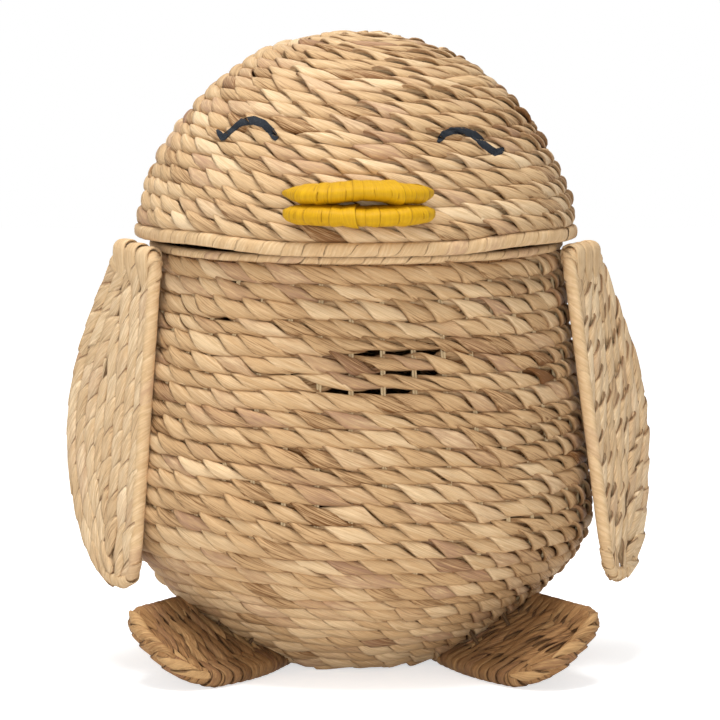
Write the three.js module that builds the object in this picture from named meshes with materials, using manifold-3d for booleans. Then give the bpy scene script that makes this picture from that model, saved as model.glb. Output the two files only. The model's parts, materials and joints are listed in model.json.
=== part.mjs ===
// A woven storage basket in the shape of a plump sleepy bird: an egg-shaped body twined from plant
// strips, a domed lid that lifts off, a two-part beak, two flat wings that hang from the rim and
// two flat feet under the bowl. Millimetres, +Z up, the face looks along -Y, origin on the floor.
import * as THREE from "three";
import { mergeVertices } from "three/addons/utils/BufferGeometryUtils.js";
import Module from "manifold-3d";

const wasm = await Module();
wasm.setup();

// Facets
const turnSteps = 40;
const curveSteps = 9;
const outlineSteps = 5;
const sectionSteps = 7;
const wireSides = 5;
const knotSides = 7;
const knotRows = 4;
const notchSides = 14;
const padTurns = 18;
const padRows = 12;
const quarterTurn = Math.PI / 2;
const fullTurn = 2 * Math.PI;

// Fits
const gap = 0.3;
const runningGap = 0.4;
const crossingError = 0.01;

// Woven body
const baseRadius = 76;
const bellyRadius = 201;
const bellyHeight = 128;
const mouthRadius = 175;
const lidPlane = 357.5;
const weaveThickness = 12;
const floorThickness = 10;
const bowlCurveShares = [[0, 0], [0.52, 0.29], [1, 0.72], [1, 1]];
const waistCurveShares = [[0, 0], [0, 0.25], [0.75, 0.72], [1, 1]];

// Bound rims
const rimWrapWidth = 12;
const rimWrapHeight = 14.5;
const rimWrapShowing = 7;
const lidWrapWidth = 11;
const lidWrapHeight = 12;
const lidFitGap = 1.5;
const frameWire = 4;
const boundSlot = 1;
const uprightTurn = -18;

// Lid
const domeRise = 163.5;
const domeInset = 1.5;
const domeCurveShares = [[1, 0], [1, 0.16], [0.76, 1], [0, 1]];
const seatWidth = 5.5;

// Beak
const beakHalfWidth = 63;
const beakReach = 44;
const beakRoot = 14;
const beakThickness = 18;
const beakHeight = 399.5;
const beakParting = 0.8;
const beakSquareness = 0.72;
const beakEdgeSquareness = 0.8;
const beakTieShare = 0.55;
const beakTieDepth = 16;

// Wings
const wingBead = 11;
const wingThickness = 9;
const wingSpan = 107;
const wingDrop = 275;
const wingTieRoom = 1.5;
const wingSeatGap = 0.5;
const wingOutlineShares = [
  [[0.09, 0], [0.04, 0], [0, -0.015], [0, -0.035]],
  [[-0.07, -0.93], [-0.07, -0.97], [0, -1], [0.12, -1]],
  [[0.12, -1], [0.52, -1], [0.98, -0.87], [0.99, -0.64]],
  [[0.99, -0.64], [1, -0.42], [0.75, -0.25], [0.62, -0.035]],
  [[0.62, -0.035], [0.6, -0.012], [0.57, 0], [0.52, 0]],
];
const wingTieShares = [0.16, 0.4];
const wingSides = [
  { name: "left", side: -1, heading: 124.8, splay: 0, cornerShare: 0.15 },
  { name: "right", side: 1, heading: 66, splay: 3.2, cornerShare: 0.125 },
];

// Feet
const footBead = 15;
const footThickness = 12;
const footLength = 168;
const footWidth = 80;
const footCorner = 26;
const footTilt = 33;
const footTieShares = [[0.56, 0.56], [0.62, 0.2]];
const footSides = [
  { name: "left", side: -1, heading: 61, toeShares: [-0.657, -0.851] },
  { name: "right", side: 1, heading: 119, toeShares: [0.721, -0.851] },
];

// Ties
const tieWidth = 8;
const tieThickness = 2;
const tieBarDrop = 3.4;
const tieBarThickness = 3;
const tieCord = 3.2;
const knotDiameter = 8;

// Materials
const finish = (color, roughness, metalness = 0) =>
  new THREE.MeshStandardMaterial({ color, roughness, metalness });
const straw = () => finish(0xcda877, 0.75);
const paleStraw = () => finish(0xd9ba8b, 0.72);
const shadedStraw = () => finish(0xa98658, 0.8);
const yellowStrip = () => finish(0xd8a61a, 0.6);
const cord = () => finish(0xc9ad80, 0.85);
const ironWire = () => finish(0x3c3a38, 0.55, 0.9);

// Solids and meshes
const radians = (degrees) => (degrees * Math.PI) / 180;

function bare(geometry) {
  const copy = geometry.clone();
  copy.deleteAttribute("normal");
  copy.deleteAttribute("uv");
  return mergeVertices(copy);
}

function signedVolume(geometry) {
  const place = geometry.attributes.position;
  const index = geometry.index.array;
  const [a, b, c] = [new THREE.Vector3(), new THREE.Vector3(), new THREE.Vector3()];
  let sum = 0;
  for (let i = 0; i < index.length; i += 3) {
    a.fromBufferAttribute(place, index[i]);
    b.fromBufferAttribute(place, index[i + 1]);
    c.fromBufferAttribute(place, index[i + 2]);
    sum += a.dot(b.cross(c));
  }
  return sum;
}

// The same surface with merged vertices and every face pointing out.
function outward(geometry) {
  const merged = bare(geometry);
  if (signedVolume(merged) < 0) {
    const index = merged.index.array;
    for (let i = 0; i < index.length; i += 3) {
      [index[i], index[i + 1]] = [index[i + 1], index[i]];
    }
  }
  return merged;
}

function solidOf(geometry) {
  const closed = outward(geometry);
  return new wasm.Manifold(new wasm.Mesh({
    numProp: 3,
    vertProperties: new Float32Array(closed.attributes.position.array),
    triVerts: new Uint32Array(closed.index.array),
  }));
}

function geometryOf(solid) {
  const { numProp, vertProperties, triVerts } = solid.getMesh();
  const corners = new Float32Array((vertProperties.length / numProp) * 3);
  for (let i = 0; i < corners.length / 3; i += 1) {
    corners.set(vertProperties.subarray(i * numProp, i * numProp + 3), i * 3);
  }
  const geometry = new THREE.BufferGeometry();
  geometry.setAttribute("position", new THREE.BufferAttribute(corners, 3));
  geometry.setIndex(new THREE.BufferAttribute(new Uint32Array(triVerts), 1));
  return geometry;
}

function piece(name, geometry, material) {
  const mesh = new THREE.Mesh(outward(geometry), material);
  mesh.name = name;
  return mesh;
}

// Cuts a placed mesh with solids that are given in the frame of the whole object.
function trim(mesh, cutters) {
  mesh.updateWorldMatrix(true, false);
  let solid = solidOf(mesh.geometry.clone().applyMatrix4(mesh.matrixWorld));
  cutters.forEach((cutter) => {
    solid = solid.subtract(cutter);
  });
  mesh.geometry = geometryOf(solid).applyMatrix4(mesh.matrixWorld.clone().invert());
}

function inWorld(mesh) {
  mesh.updateWorldMatrix(true, false);
  return solidOf(mesh.geometry.clone().applyMatrix4(mesh.matrixWorld));
}

// Profiles and sections
const point = (x, y) => new THREE.Vector2(x, y);

function curve(shares, place, steps = curveSteps) {
  const [start, lead, trail, end] = shares.map(([a, b]) => place(a, b));
  return new THREE.CubicBezierCurve(start, lead, trail, end).getPoints(steps);
}

// Moves each point of an open or closed run of points to its left by a distance.
function shifted(points, distance, closed = false) {
  const last = points.length - 1;
  return points.map((at, i) => {
    const before = points[i === 0 ? (closed ? last : 0) : i - 1];
    const after = points[i === last ? (closed ? 0 : last) : i + 1];
    const along = after.clone().sub(before).normalize();
    return point(at.x - along.y * distance, at.y + along.x * distance);
  });
}

function turned(profile) {
  return new THREE.LatheGeometry(profile, turnSteps).rotateX(quarterTurn);
}

function ringOf(section, radius, height) {
  const around = section.map(([u, v]) => point(radius + u, height + v));
  return turned([...around, around[0].clone()]);
}

function circle(radius, sides = wireSides) {
  return Array.from({ length: sides }, (_, i) => {
    const angle = (i * fullTurn) / sides;
    return [radius * Math.cos(angle), radius * Math.sin(angle)];
  });
}

// The section of a bound edge: an oval of plant strip round a wire's bore, slit on one side where
// the weave comes in.
function boundSection(width, height, wire, slitAngle) {
  const bore = wire / 2 / Math.cos(Math.PI / wireSides) + gap;
  const oval = (angle) => [(width / 2) * Math.cos(angle), (height / 2) * Math.sin(angle)];
  const hole = (angle) => [bore * Math.cos(angle), bore * Math.sin(angle)];
  const outerSlit = boundSlot / Math.max(width, height);
  const innerSlit = Math.asin(boundSlot / 2 / bore);
  const arc = (shape, slit, steps) => Array.from({ length: steps + 1 }, (_, i) =>
    shape(slitAngle + slit + ((fullTurn - 2 * slit) * i) / steps));
  return [
    ...arc(oval, outerSlit, sectionSteps),
    ...arc(hole, innerSlit, wireSides).reverse(),
  ];
}

// Sweeps a section along a flat path, closed on itself or with two flat ends. The section's first
// coordinate points to the left of the path, and one with flat ends is convex.
function swept(path, section, closed) {
  const across = shifted(path, 1, closed);
  const corners = path.flatMap((at, i) => section.map(([u, v]) => {
    const aside = across[i].clone().sub(at).multiplyScalar(u);
    return [at.x + aside.x, at.y + aside.y, v];
  }));
  const index = [];
  const count = section.length;
  const spans = closed ? path.length : path.length - 1;
  for (let i = 0; i < spans; i += 1) {
    const next = ((i + 1) % path.length) * count;
    section.forEach((_, j) => {
      const k = (j + 1) % count;
      index.push(i * count + j, next + j, next + k, i * count + j, next + k, i * count + k);
    });
  }
  for (let j = 1; !closed && j < count - 1; j += 1) {
    const end = spans * count;
    index.push(0, j, j + 1, end, end + j + 1, end + j);
  }
  const geometry = new THREE.BufferGeometry();
  geometry.setAttribute("position", new THREE.Float32BufferAttribute(corners.flat(), 3));
  geometry.setIndex(index);
  return geometry;
}

function plate(outline, thickness) {
  return new THREE.ExtrudeGeometry(new THREE.Shape(outline), {
    depth: thickness,
    bevelEnabled: false,
  }).translate(0, 0, -thickness / 2);
}

// A bent wire in an upright plane through the axis, along a path of radii and heights.
function wireAlong(path, azimuth) {
  return swept(path, circle(frameWire / 2), false).rotateX(quarterTurn).rotateZ(azimuth);
}

// A cord with a knot at each end, along local +Z. Grown, it is the hole that the cord goes through.
function knottedCord(lowKnot, highKnot, growth = 0) {
  const knot = knotDiameter / 2 + growth;
  const neck = Math.acos((tieCord / 2 + growth) / knot);
  const cap = (centre, from, to) => Array.from({ length: knotRows }, (_, i) => {
    const angle = from + ((to - from) * i) / (knotRows - 1);
    return point(Math.max(knot * Math.cos(angle), 0), centre + knot * Math.sin(angle));
  });
  const profile = [...cap(lowKnot, -quarterTurn, neck), ...cap(highKnot, -neck, quarterTurn)];
  profile[0].x = 0;
  profile[profile.length - 1].x = 0;
  return new THREE.LatheGeometry(profile, knotSides).rotateX(quarterTurn);
}

// Body and lid profiles, from the outside of the weave
const rimTop = lidPlane + rimWrapHeight - rimWrapShowing;
const rimBottom = lidPlane - rimWrapShowing;
const rimRadius = mouthRadius + gap - rimWrapWidth / 2;
const weaveTop = rimBottom - gap;
const lidWrapRadius = rimRadius + rimWrapWidth / 2 + lidFitGap + lidWrapWidth / 2;
const lidWrapTop = lidPlane + lidWrapHeight;
const domeBottom = lidWrapTop + gap;
const domeRadius = lidWrapRadius + lidWrapWidth / 2 - domeInset;
const domeTop = domeBottom + domeRise;

const bowlCurve = curve(bowlCurveShares, (a, b) =>
  point(baseRadius + (bellyRadius - baseRadius) * a, bellyHeight * b));
const waistCurve = curve(waistCurveShares, (a, b) =>
  point(bellyRadius + (mouthRadius - bellyRadius) * a, bellyHeight + (weaveTop - bellyHeight) * b));
const bodyCurve = [...bowlCurve, ...waistCurve.slice(1)];
const domeCurve = curve(domeCurveShares, (a, b) => point(domeRadius * a, domeBottom + domeRise * b));

const bodyOffset = (distance) => shifted(bodyCurve, distance);
const domeOffset = (distance) => shifted(domeCurve, distance);

function radiusAt(profile, height) {
  for (let i = 1; i < profile.length; i += 1) {
    const [low, high] = [profile[i - 1], profile[i]];
    if (height <= high.y) {
      const share = (height - low.y) / (high.y - low.y);
      return low.x + (high.x - low.x) * share;
    }
  }
  return profile[profile.length - 1].x;
}

// How far along a ray the surface of a turned profile is crossed, going in from outside.
function crossing(profile, origin, direction, furthest) {
  let [outside, inside] = [0, furthest];
  const at = new THREE.Vector3();
  while (inside - outside > crossingError) {
    const middle = (outside + inside) / 2;
    at.copy(direction).multiplyScalar(middle).add(origin);
    if (Math.hypot(at.x, at.y) < radiusAt(profile, at.z)) {
      inside = middle;
    } else {
      outside = middle;
    }
  }
  return inside;
}

const wallSag = bellyRadius * (1 - Math.cos(Math.PI / turnSteps));

// Woven body
function bodyWeave() {
  const inside = bodyOffset(weaveThickness).reverse();
  inside[0].y = weaveTop;
  const profile = [point(0, 0), ...bodyCurve, ...inside, point(0, floorThickness)];
  return piece("body_weave", turned(profile), straw());
}

function bodyRim() {
  const wrap = ringOf(
    boundSection(rimWrapWidth, rimWrapHeight, frameWire, -quarterTurn),
    rimRadius,
    rimTop - rimWrapHeight / 2,
  );
  const wire = ringOf(circle(frameWire / 2), rimRadius, rimTop - rimWrapHeight / 2);
  return [piece("body_rim_binding", wrap, paleStraw()), piece("body_rim_wire", wire, ironWire())];
}

const uprightDepth = weaveThickness + gap + frameWire / 2;
const hoopDepth = uprightDepth + frameWire + gap;

function bodyFrame() {
  const belly = ringOf(circle(frameWire / 2), bellyRadius - hoopDepth - wallSag, bellyHeight);
  const reach = bodyOffset(uprightDepth);
  const base = ringOf(circle(frameWire / 2), reach[0].x - frameWire - gap, reach[0].y);
  const run = reach.slice(0, -1);
  run.push(point(reach[reach.length - 1].x, weaveTop - gap));
  const start = radians(uprightTurn);
  const uprights = [0, 1, 2, 3].map((quarter) =>
    piece(`body_upright_${quarter + 1}`, wireAlong(run, start + quarter * quarterTurn), ironWire()));
  return [
    piece("body_belly_hoop", belly, ironWire()),
    piece("body_base_hoop", base, ironWire()),
    ...uprights,
  ];
}

// Lid
function lidWeave() {
  const seat = rimTop + gap;
  const seatOuter = lidWrapRadius - lidWrapWidth / 2 - gap;
  const inside = domeOffset(weaveThickness).filter(({ y }) => y > domeBottom + weaveThickness);
  const crown = inside[inside.length - 1];
  crown.x = 0;
  const profile = [
    point(0, domeTop),
    ...domeCurve.slice(0, -1).reverse(),
    point(seatOuter, domeBottom),
    point(seatOuter, seat),
    point(seatOuter - seatWidth, seat),
    ...inside,
  ];
  return piece("lid_weave", turned(profile), straw());
}

function lidRim() {
  const centre = lidPlane + lidWrapHeight / 2;
  const section = boundSection(lidWrapWidth, lidWrapHeight, frameWire, quarterTurn);
  const wrap = ringOf(section, lidWrapRadius, centre);
  const wire = ringOf(circle(frameWire / 2), lidWrapRadius, centre);
  return [piece("lid_rim_binding", wrap, paleStraw()), piece("lid_rim_wire", wire, ironWire())];
}

function lidRibs() {
  const depth = weaveThickness + gap + frameWire / 2;
  const run = domeOffset(depth).filter(({ x, y }) => y > domeBottom + weaveThickness && x > frameWire);
  const crown = point(0, domeTop - depth);
  const mirrored = run.map(({ x, y }) => point(-x, y)).reverse();
  const diagonal = quarterTurn / 2;
  return [
    piece("lid_rib_1", wireAlong([...run, crown, ...mirrored], diagonal), ironWire()),
    piece("lid_rib_2", wireAlong(run, diagonal + quarterTurn), ironWire()),
    piece("lid_rib_3", wireAlong(run, diagonal - quarterTurn), ironWire()),
  ];
}

// A piece of cord with knots that is tied through other pieces, with its hole.
function tie(name, parent, lowKnot, highKnot) {
  const mesh = piece(name, knottedCord(lowKnot, highKnot), cord());
  parent.add(mesh);
  const hole = new THREE.Mesh(knottedCord(lowKnot, highKnot, gap));
  parent.add(hole);
  const cutter = inWorld(hole);
  parent.remove(hole);
  return cutter;
}

// Beak
function beakPad(height) {
  const swell = (value, power) => Math.sign(value) * Math.abs(value) ** power;
  const geometry = bare(new THREE.SphereGeometry(1, padTurns, padRows));
  const place = geometry.attributes.position;
  for (let i = 0; i < place.count; i += 1) {
    place.setXYZ(
      i,
      beakHalfWidth * swell(place.getX(i), beakSquareness),
      (beakReach + beakRoot) * swell(place.getZ(i), beakEdgeSquareness),
      (beakThickness / 2) * swell(place.getY(i), beakSquareness),
    );
  }
  return geometry.translate(0, beakRoot - radiusAt(domeCurve, height), height);
}

function addBeak(lid, weave) {
  const outside = solidOf(turned([
    point(0, domeBottom),
    ...domeOffset(-gap).slice(0, -1),
    point(0, domeTop + gap),
  ]));
  const rise = (beakThickness + beakParting) / 2;
  [["upper", rise], ["lower", -rise]].forEach(([name, step]) => {
    const height = beakHeight + step;
    const pad = piece(`beak_${name}`, beakPad(height), yellowStrip());
    lid.add(pad);
    const holes = [["left", -1], ["right", 1]].map(([label, side]) => {
      const place = new THREE.Group();
      lid.add(place);
      const x = side * beakHalfWidth * beakTieShare;
      place.position.set(x, 0, height);
      place.rotation.x = -quarterTurn;
      const skin = Math.sqrt(radiusAt(domeCurve, height) ** 2 - x ** 2);
      const inner = Math.sqrt(radiusAt(domeOffset(weaveThickness), height) ** 2 - x ** 2);
      const inside = inner - wallSag - knotDiameter;
      return tie(`beak_${name}_tie_${label}`, place, -skin - beakTieDepth, -inside);
    });
    trim(pad, [outside, ...holes]);
    trim(weave, holes);
  });
}

// Wings
const tieRing = wingBead / 2 + runningGap + tieThickness;
const hingeHeight = lidPlane - 2 * gap - tieRing;
const wingStandoff = mouthRadius + tieRing + wingTieRoom;

function wingOutline() {
  return wingOutlineShares
    .flatMap((shares) => curve(shares, (a, b) => point(wingSpan * a, wingDrop * b), outlineSteps))
    .filter((at, i, all) => i === 0 || at.distanceTo(all[i - 1]) > gap);
}

// How far a wing leans out where its front edge, a given way along the hinge, rests on the belly.
function restingLean(corner) {
  const leans = bodyCurve
    .filter(({ y }) => y < hingeHeight && y > hingeHeight - wingDrop)
    .map(({ x, y }) => {
      const beyond = Math.sqrt(x ** 2 - corner ** 2) - wingStandoff;
      const down = hingeHeight - y;
      const held = wingBead / 2 + wingSeatGap;
      return Math.atan2(beyond, down) + Math.asin(held / Math.hypot(beyond, down));
    });
  return Math.max(...leans);
}

// A strip tie in the plane across the hinge: an eye round the wing's top edge, a bar through the
// wall of the body under its rim, and a knot inside.
function wingTie(reach, grip, growth = 0) {
  const eye = new THREE.Shape().absarc(0, 0, tieRing + growth, 0, fullTurn);
  eye.holes.push(new THREE.Path().absarc(0, 0, wingBead / 2 + runningGap, 0, fullTurn));
  const block = (near, far, low, high) => plate([
    point(-near, low), point(-near, high), point(-far, high), point(-far, low),
  ], tieWidth + 2 * growth);
  const barTop = -tieBarDrop + growth;
  const barLow = -tieBarDrop - tieBarThickness - growth;
  const knotDrop = (knotDiameter - tieBarThickness) / 2;
  const ring = new THREE.ExtrudeGeometry(eye, {
    depth: tieWidth,
    curveSegments: knotSides,
    bevelEnabled: false,
  }).translate(0, 0, -tieWidth / 2);
  const start = tieRing - tieThickness / 2;
  const bar = solidOf(block(start, reach + tieThickness, barLow, barTop));
  const knot = solidOf(block(reach, reach + grip, barLow - knotDrop, barTop + knotDrop));
  const solid = growth ? bar : bar.add(knot).add(solidOf(ring));
  return geometryOf(solid).rotateX(quarterTurn).rotateZ(quarterTurn);
}

function addWing(whole, body, { name, side, heading, splay, cornerShare }) {
  const out = -side;
  const turn = radians(heading);
  const corner = mouthRadius * cornerShare;
  const hinge = new THREE.Group();
  hinge.position.set(
    -out * Math.sin(turn) * wingStandoff + Math.cos(turn) * corner,
    out * Math.cos(turn) * wingStandoff + Math.sin(turn) * corner,
    hingeHeight,
  );
  hinge.rotation.z = turn;
  whole.add(hinge);
  const wing = new THREE.Group();
  wing.rotation.x = out * (restingLean(corner) + radians(splay));
  hinge.add(wing);

  const edge = wingOutline();
  const section = boundSection(wingBead, wingBead, frameWire, 0);
  const panel = plate(shifted(edge, wingBead / 2 + gap, true), wingThickness).rotateX(quarterTurn);
  const binding = swept(edge, section, true).rotateX(quarterTurn);
  const wire = swept(edge, circle(frameWire / 2), true).rotateX(quarterTurn);
  const weave = piece(`wing_${name}_weave`, panel, straw());
  wing.add(
    weave,
    piece(`wing_${name}_binding`, binding, paleStraw()),
    piece(`wing_${name}_wire`, wire, ironWire()),
  );

  const cutters = [];
  const slots = [];
  [["front", wingTieShares[0]], ["rear", wingTieShares[1]]].forEach(([label, share]) => {
    const along = wingSpan * share;
    const across = corner + along + tieWidth / 2;
    const inner = radiusAt(bodyOffset(weaveThickness), hingeHeight - tieBarDrop) - wallSag;
    const reach = wingStandoff - Math.sqrt(inner ** 2 - across ** 2) + 2 * gap;
    const place = new THREE.Group();
    place.position.x = along;
    hinge.add(place);
    const grip = knotDiameter / 2;
    const strip = wingTie(reach, grip).scale(1, out, 1);
    place.add(piece(`wing_${name}_tie_${label}`, strip, cord()));
    const slot = new THREE.Mesh(wingTie(reach, grip, gap).scale(1, out, 1));
    const clearance = tieRing + runningGap;
    const notch = new THREE.Mesh(
      new THREE.CylinderGeometry(clearance, clearance, tieWidth + 2 * runningGap, notchSides)
        .rotateZ(quarterTurn),
    );
    place.add(slot, notch);
    slots.push(inWorld(slot));
    cutters.push(inWorld(notch));
    place.remove(slot, notch);
  });
  trim(weave, cutters);
  trim(body, slots);
}

// Feet
function footOutline() {
  const path = new THREE.Path();
  const [length, width, corner] = [footLength, footWidth, footCorner];
  path.moveTo(corner, 0).lineTo(length - corner, 0);
  path.absarc(length - corner, corner, corner, -quarterTurn, 0);
  path.absarc(length - corner, width - corner, corner, 0, quarterTurn);
  path.absarc(corner, width - corner, corner, quarterTurn, 2 * quarterTurn);
  path.absarc(corner, corner, corner, 2 * quarterTurn, 3 * quarterTurn);
  return path.getPoints(outlineSteps).filter((at, i, all) => {
    const before = all[(i + all.length - 1) % all.length];
    return at.distanceTo(before) > gap;
  });
}

function addFoot(whole, body, bowl, { name, side, heading, toeShares }) {
  const out = -side;
  const stand = new THREE.Group();
  stand.position.set(...toeShares.map((share) => bellyRadius * share), footBead / 2);
  stand.rotation.z = radians(heading);
  whole.add(stand);
  const foot = new THREE.Group();
  foot.rotation.x = out * radians(footTilt);
  stand.add(foot);

  const edge = footOutline();
  const section = boundSection(footBead, footBead, frameWire, 0);
  const panel = plate(shifted(edge, footBead / 2 + gap, true), footThickness);
  const binding = swept(edge, section, true);
  const wire = swept(edge, circle(frameWire / 2), true);
  const pieces = [
    piece(`foot_${name}_weave`, panel.scale(1, out, 1), shadedStraw()),
    piece(`foot_${name}_binding`, binding.scale(1, out, 1), shadedStraw()),
    piece(`foot_${name}_wire`, wire.scale(1, out, 1), ironWire()),
  ];
  foot.add(...pieces);

  const under = footThickness / 2 + knotDiameter / 2;
  const holes = footTieShares.map(([a, b], i) => {
    const place = new THREE.Group();
    place.position.set(footLength * a, out * footWidth * b, 0);
    foot.add(place);
    place.updateWorldMatrix(true, false);
    const origin = new THREE.Vector3().setFromMatrixPosition(place.matrixWorld);
    const upward = new THREE.Vector3(0, 0, 1).transformDirection(place.matrixWorld);
    const inner = bodyOffset(weaveThickness);
    const through = crossing(inner, origin, upward, bellyHeight);
    return tie(`foot_${name}_tie_${i + 1}`, place, -under, through + knotDiameter);
  });
  pieces.forEach((mesh) => trim(mesh, [bowl, ...holes]));
  trim(body, holes);
}

// Whole basket
const basket = new THREE.Group();
const body = bodyWeave();
basket.add(body, ...bodyRim(), ...bodyFrame());

const bowl = solidOf(turned([
  point(0, -gap),
  ...bodyOffset(-gap),
  point(0, weaveTop + gap),
]));
footSides.forEach((foot) => addFoot(basket, body, bowl, foot));
wingSides.forEach((wing) => addWing(basket, body, wing));

const lid = new THREE.Group();
const dome = lidWeave();
lid.add(dome, ...lidRim(), ...lidRibs());
basket.add(lid);
addBeak(lid, dome);

export default basket;
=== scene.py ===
"""The looks of a woven bird basket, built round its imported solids.

Every strand is a real swept strip: rows of two strands twisted round each other, bindings wound
round the rims and edges, yellow strips round the beak and painted strokes for the eyes. Lengths
are in millimetres until a mesh is made. Meshes are in metres, in the frame of the solids.
"""

import json
import logging
import math
from collections.abc import Callable, Iterable
from dataclasses import dataclass, field, replace
from enum import Enum

import bpy
import numpy as np
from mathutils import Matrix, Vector
from mathutils.bvhtree import BVHTree


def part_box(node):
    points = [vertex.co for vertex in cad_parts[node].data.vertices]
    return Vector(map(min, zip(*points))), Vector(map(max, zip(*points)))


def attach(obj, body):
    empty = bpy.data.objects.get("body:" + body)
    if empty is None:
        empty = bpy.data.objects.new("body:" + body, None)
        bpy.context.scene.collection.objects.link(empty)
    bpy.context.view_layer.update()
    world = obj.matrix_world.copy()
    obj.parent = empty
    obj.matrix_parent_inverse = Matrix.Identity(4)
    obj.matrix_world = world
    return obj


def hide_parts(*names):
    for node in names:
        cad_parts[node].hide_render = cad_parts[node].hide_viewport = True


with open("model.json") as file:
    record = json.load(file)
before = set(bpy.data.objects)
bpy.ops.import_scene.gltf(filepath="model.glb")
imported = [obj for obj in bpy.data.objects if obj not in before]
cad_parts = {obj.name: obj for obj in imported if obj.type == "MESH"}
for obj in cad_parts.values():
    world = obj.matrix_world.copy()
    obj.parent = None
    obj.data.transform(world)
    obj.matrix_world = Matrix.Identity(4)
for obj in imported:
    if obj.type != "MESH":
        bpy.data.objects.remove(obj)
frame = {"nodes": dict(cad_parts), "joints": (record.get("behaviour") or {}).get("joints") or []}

MM = 0.001
TURN = 2 * math.pi
FRONT = -math.pi / 2
BACK = math.pi / 2
# Where the first stake stands, and how far past its stake the middle of a lobe lies
FIRST_STAKE = FRONT - 0.022
LOBE_SHIFT = 0.02
# The least height of a strand above the floor
GROUND = 0.25
UP = np.array([0.0, 0.0, 1.0])
# The room between solids that touch
GAP = 0.3
# The radius of the wires that stand for the hidden ones in bound edges
WIRE_RADIUS = 1.4
Array = np.ndarray
Piece = bpy.types.Object
Material = bpy.types.Material
Socket = bpy.types.NodeSocket
Colour = tuple[float, float, float]
Line = tuple[Array, Array, Array]
Shares = tuple[tuple[float, float], ...]
Finishes = dict[str, Material]
Dice = np.random.Generator
NodeTree = bpy.types.NodeTree
TREES: dict[str, NodeTree] = {}
log = logging.getLogger("basket")


# Small geometry


def unit(vectors: Array) -> Array:
    """Each row at length one."""
    return vectors / np.maximum(np.linalg.norm(vectors, axis=-1, keepdims=True), 1e-9)


def smooth(low: float, high: float, value: Array) -> Array:
    """A soft step from 0 at low to 1 at high."""
    share = np.clip((value - low) / (high - low), 0, 1)
    return share * share * (3 - 2 * share)


def angle_from(azimuth: Array, centre: float) -> Array:
    """The signed way from one azimuth to others, from minus half a turn to half a turn."""
    return (azimuth - centre + math.pi) % TURN - math.pi


def bump(centre: float, half_width: float, value: Array) -> Array:
    """A soft hill of height one round a centre."""
    share = np.clip(np.abs(value - centre) / half_width, 0, 1)
    return (1 + np.cos(math.pi * share)) / 2


def round_bump(centre: float, half_angle: float, azimuth: Array) -> Array:
    """A soft hill of height one round an azimuth."""
    return bump(0, half_angle, angle_from(azimuth, centre))


def bezier(points: Iterable[tuple[float, float]], steps: int) -> Array:
    """Points along a cubic curve, both ends included."""
    start, lead, trail, end = (np.array(p, float) for p in points)
    t = np.linspace(0, 1, steps + 1)[:, None]
    s = 1 - t
    return s**3 * start + 3 * s * s * t * lead + 3 * s * t * t * trail + t**3 * end


def between(start: tuple[float, float], end: tuple[float, float],
            shares: Iterable[tuple[float, float]], steps: int) -> Array:
    """Points along a cubic curve whose corners are shares of the way from start to end."""
    first, way = np.array(start, float), np.subtract(end, start)
    return bezier(first + way * np.array(shares), steps)


def squared(values: Array, power: float) -> Array:
    """Values between -1 and 1 raised to a power, with their signs kept."""
    return np.sign(values) * np.abs(values) ** power


def lengths(points: Array) -> Array:
    """How far along a run of points each of them is."""
    steps = np.linalg.norm(np.diff(points, axis=0), axis=1)
    return np.concatenate([[0.0], np.cumsum(steps)])


def tangents(points: Array) -> Array:
    """The direction of an open run of points at each of them."""
    return unit(np.gradient(points, axis=0))


def read_at(places: Array, along: Array, rows: Array) -> Array:
    """Rows of numbers that are known along a way, read off at other places on it."""
    return np.stack([np.interp(places, along, column) for column in rows.T], axis=1)


def respaced(points: Array, step: float) -> Array:
    """The same run of points at an even spacing near a step."""
    along = lengths(points)
    count = max(int(round(along[-1] / step)), 3)
    return read_at(np.linspace(0, along[-1], count + 1), along, points)


def closed(outline: Array) -> Array:
    """A closed outline with its first point again at the end."""
    return np.concatenate([outline, outline[:1]])


def around(azimuth: Array) -> Array:
    """The level direction away from the axis at each azimuth."""
    return np.stack([np.cos(azimuth), np.sin(azimuth), np.zeros_like(azimuth)], axis=-1)


def read_corners(node: str) -> Array:
    """The corners of a solid of the frame, in millimetres."""
    mesh = frame["nodes"][node].data
    corners = np.empty(len(mesh.vertices) * 3)
    mesh.vertices.foreach_get("co", corners)
    return corners.reshape(-1, 3) / MM


def tree_of(*pieces: Piece) -> BVHTree:
    """The faces of some pieces in millimetres, for rays to meet."""
    corners, faces = [], []
    for piece in pieces:
        first = len(corners)
        corners += [tuple(np.array(v.co) / MM) for v in piece.data.vertices]
        faces += [tuple(i + first for i in p.vertices) for p in piece.data.polygons]
    return BVHTree.FromPolygons(corners, faces)


def linked(name: str, data: bpy.types.ID) -> Piece:
    """A new object in the scene."""
    made = bpy.data.objects.new(name, data)
    bpy.context.scene.collection.objects.link(made)
    return made


def box_of(node: str) -> tuple[Array, Array]:
    """The lowest and highest corner of a solid of the frame, in millimetres."""
    low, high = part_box(node)
    return np.array(low) / MM, np.array(high) / MM


# Node trees


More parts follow.
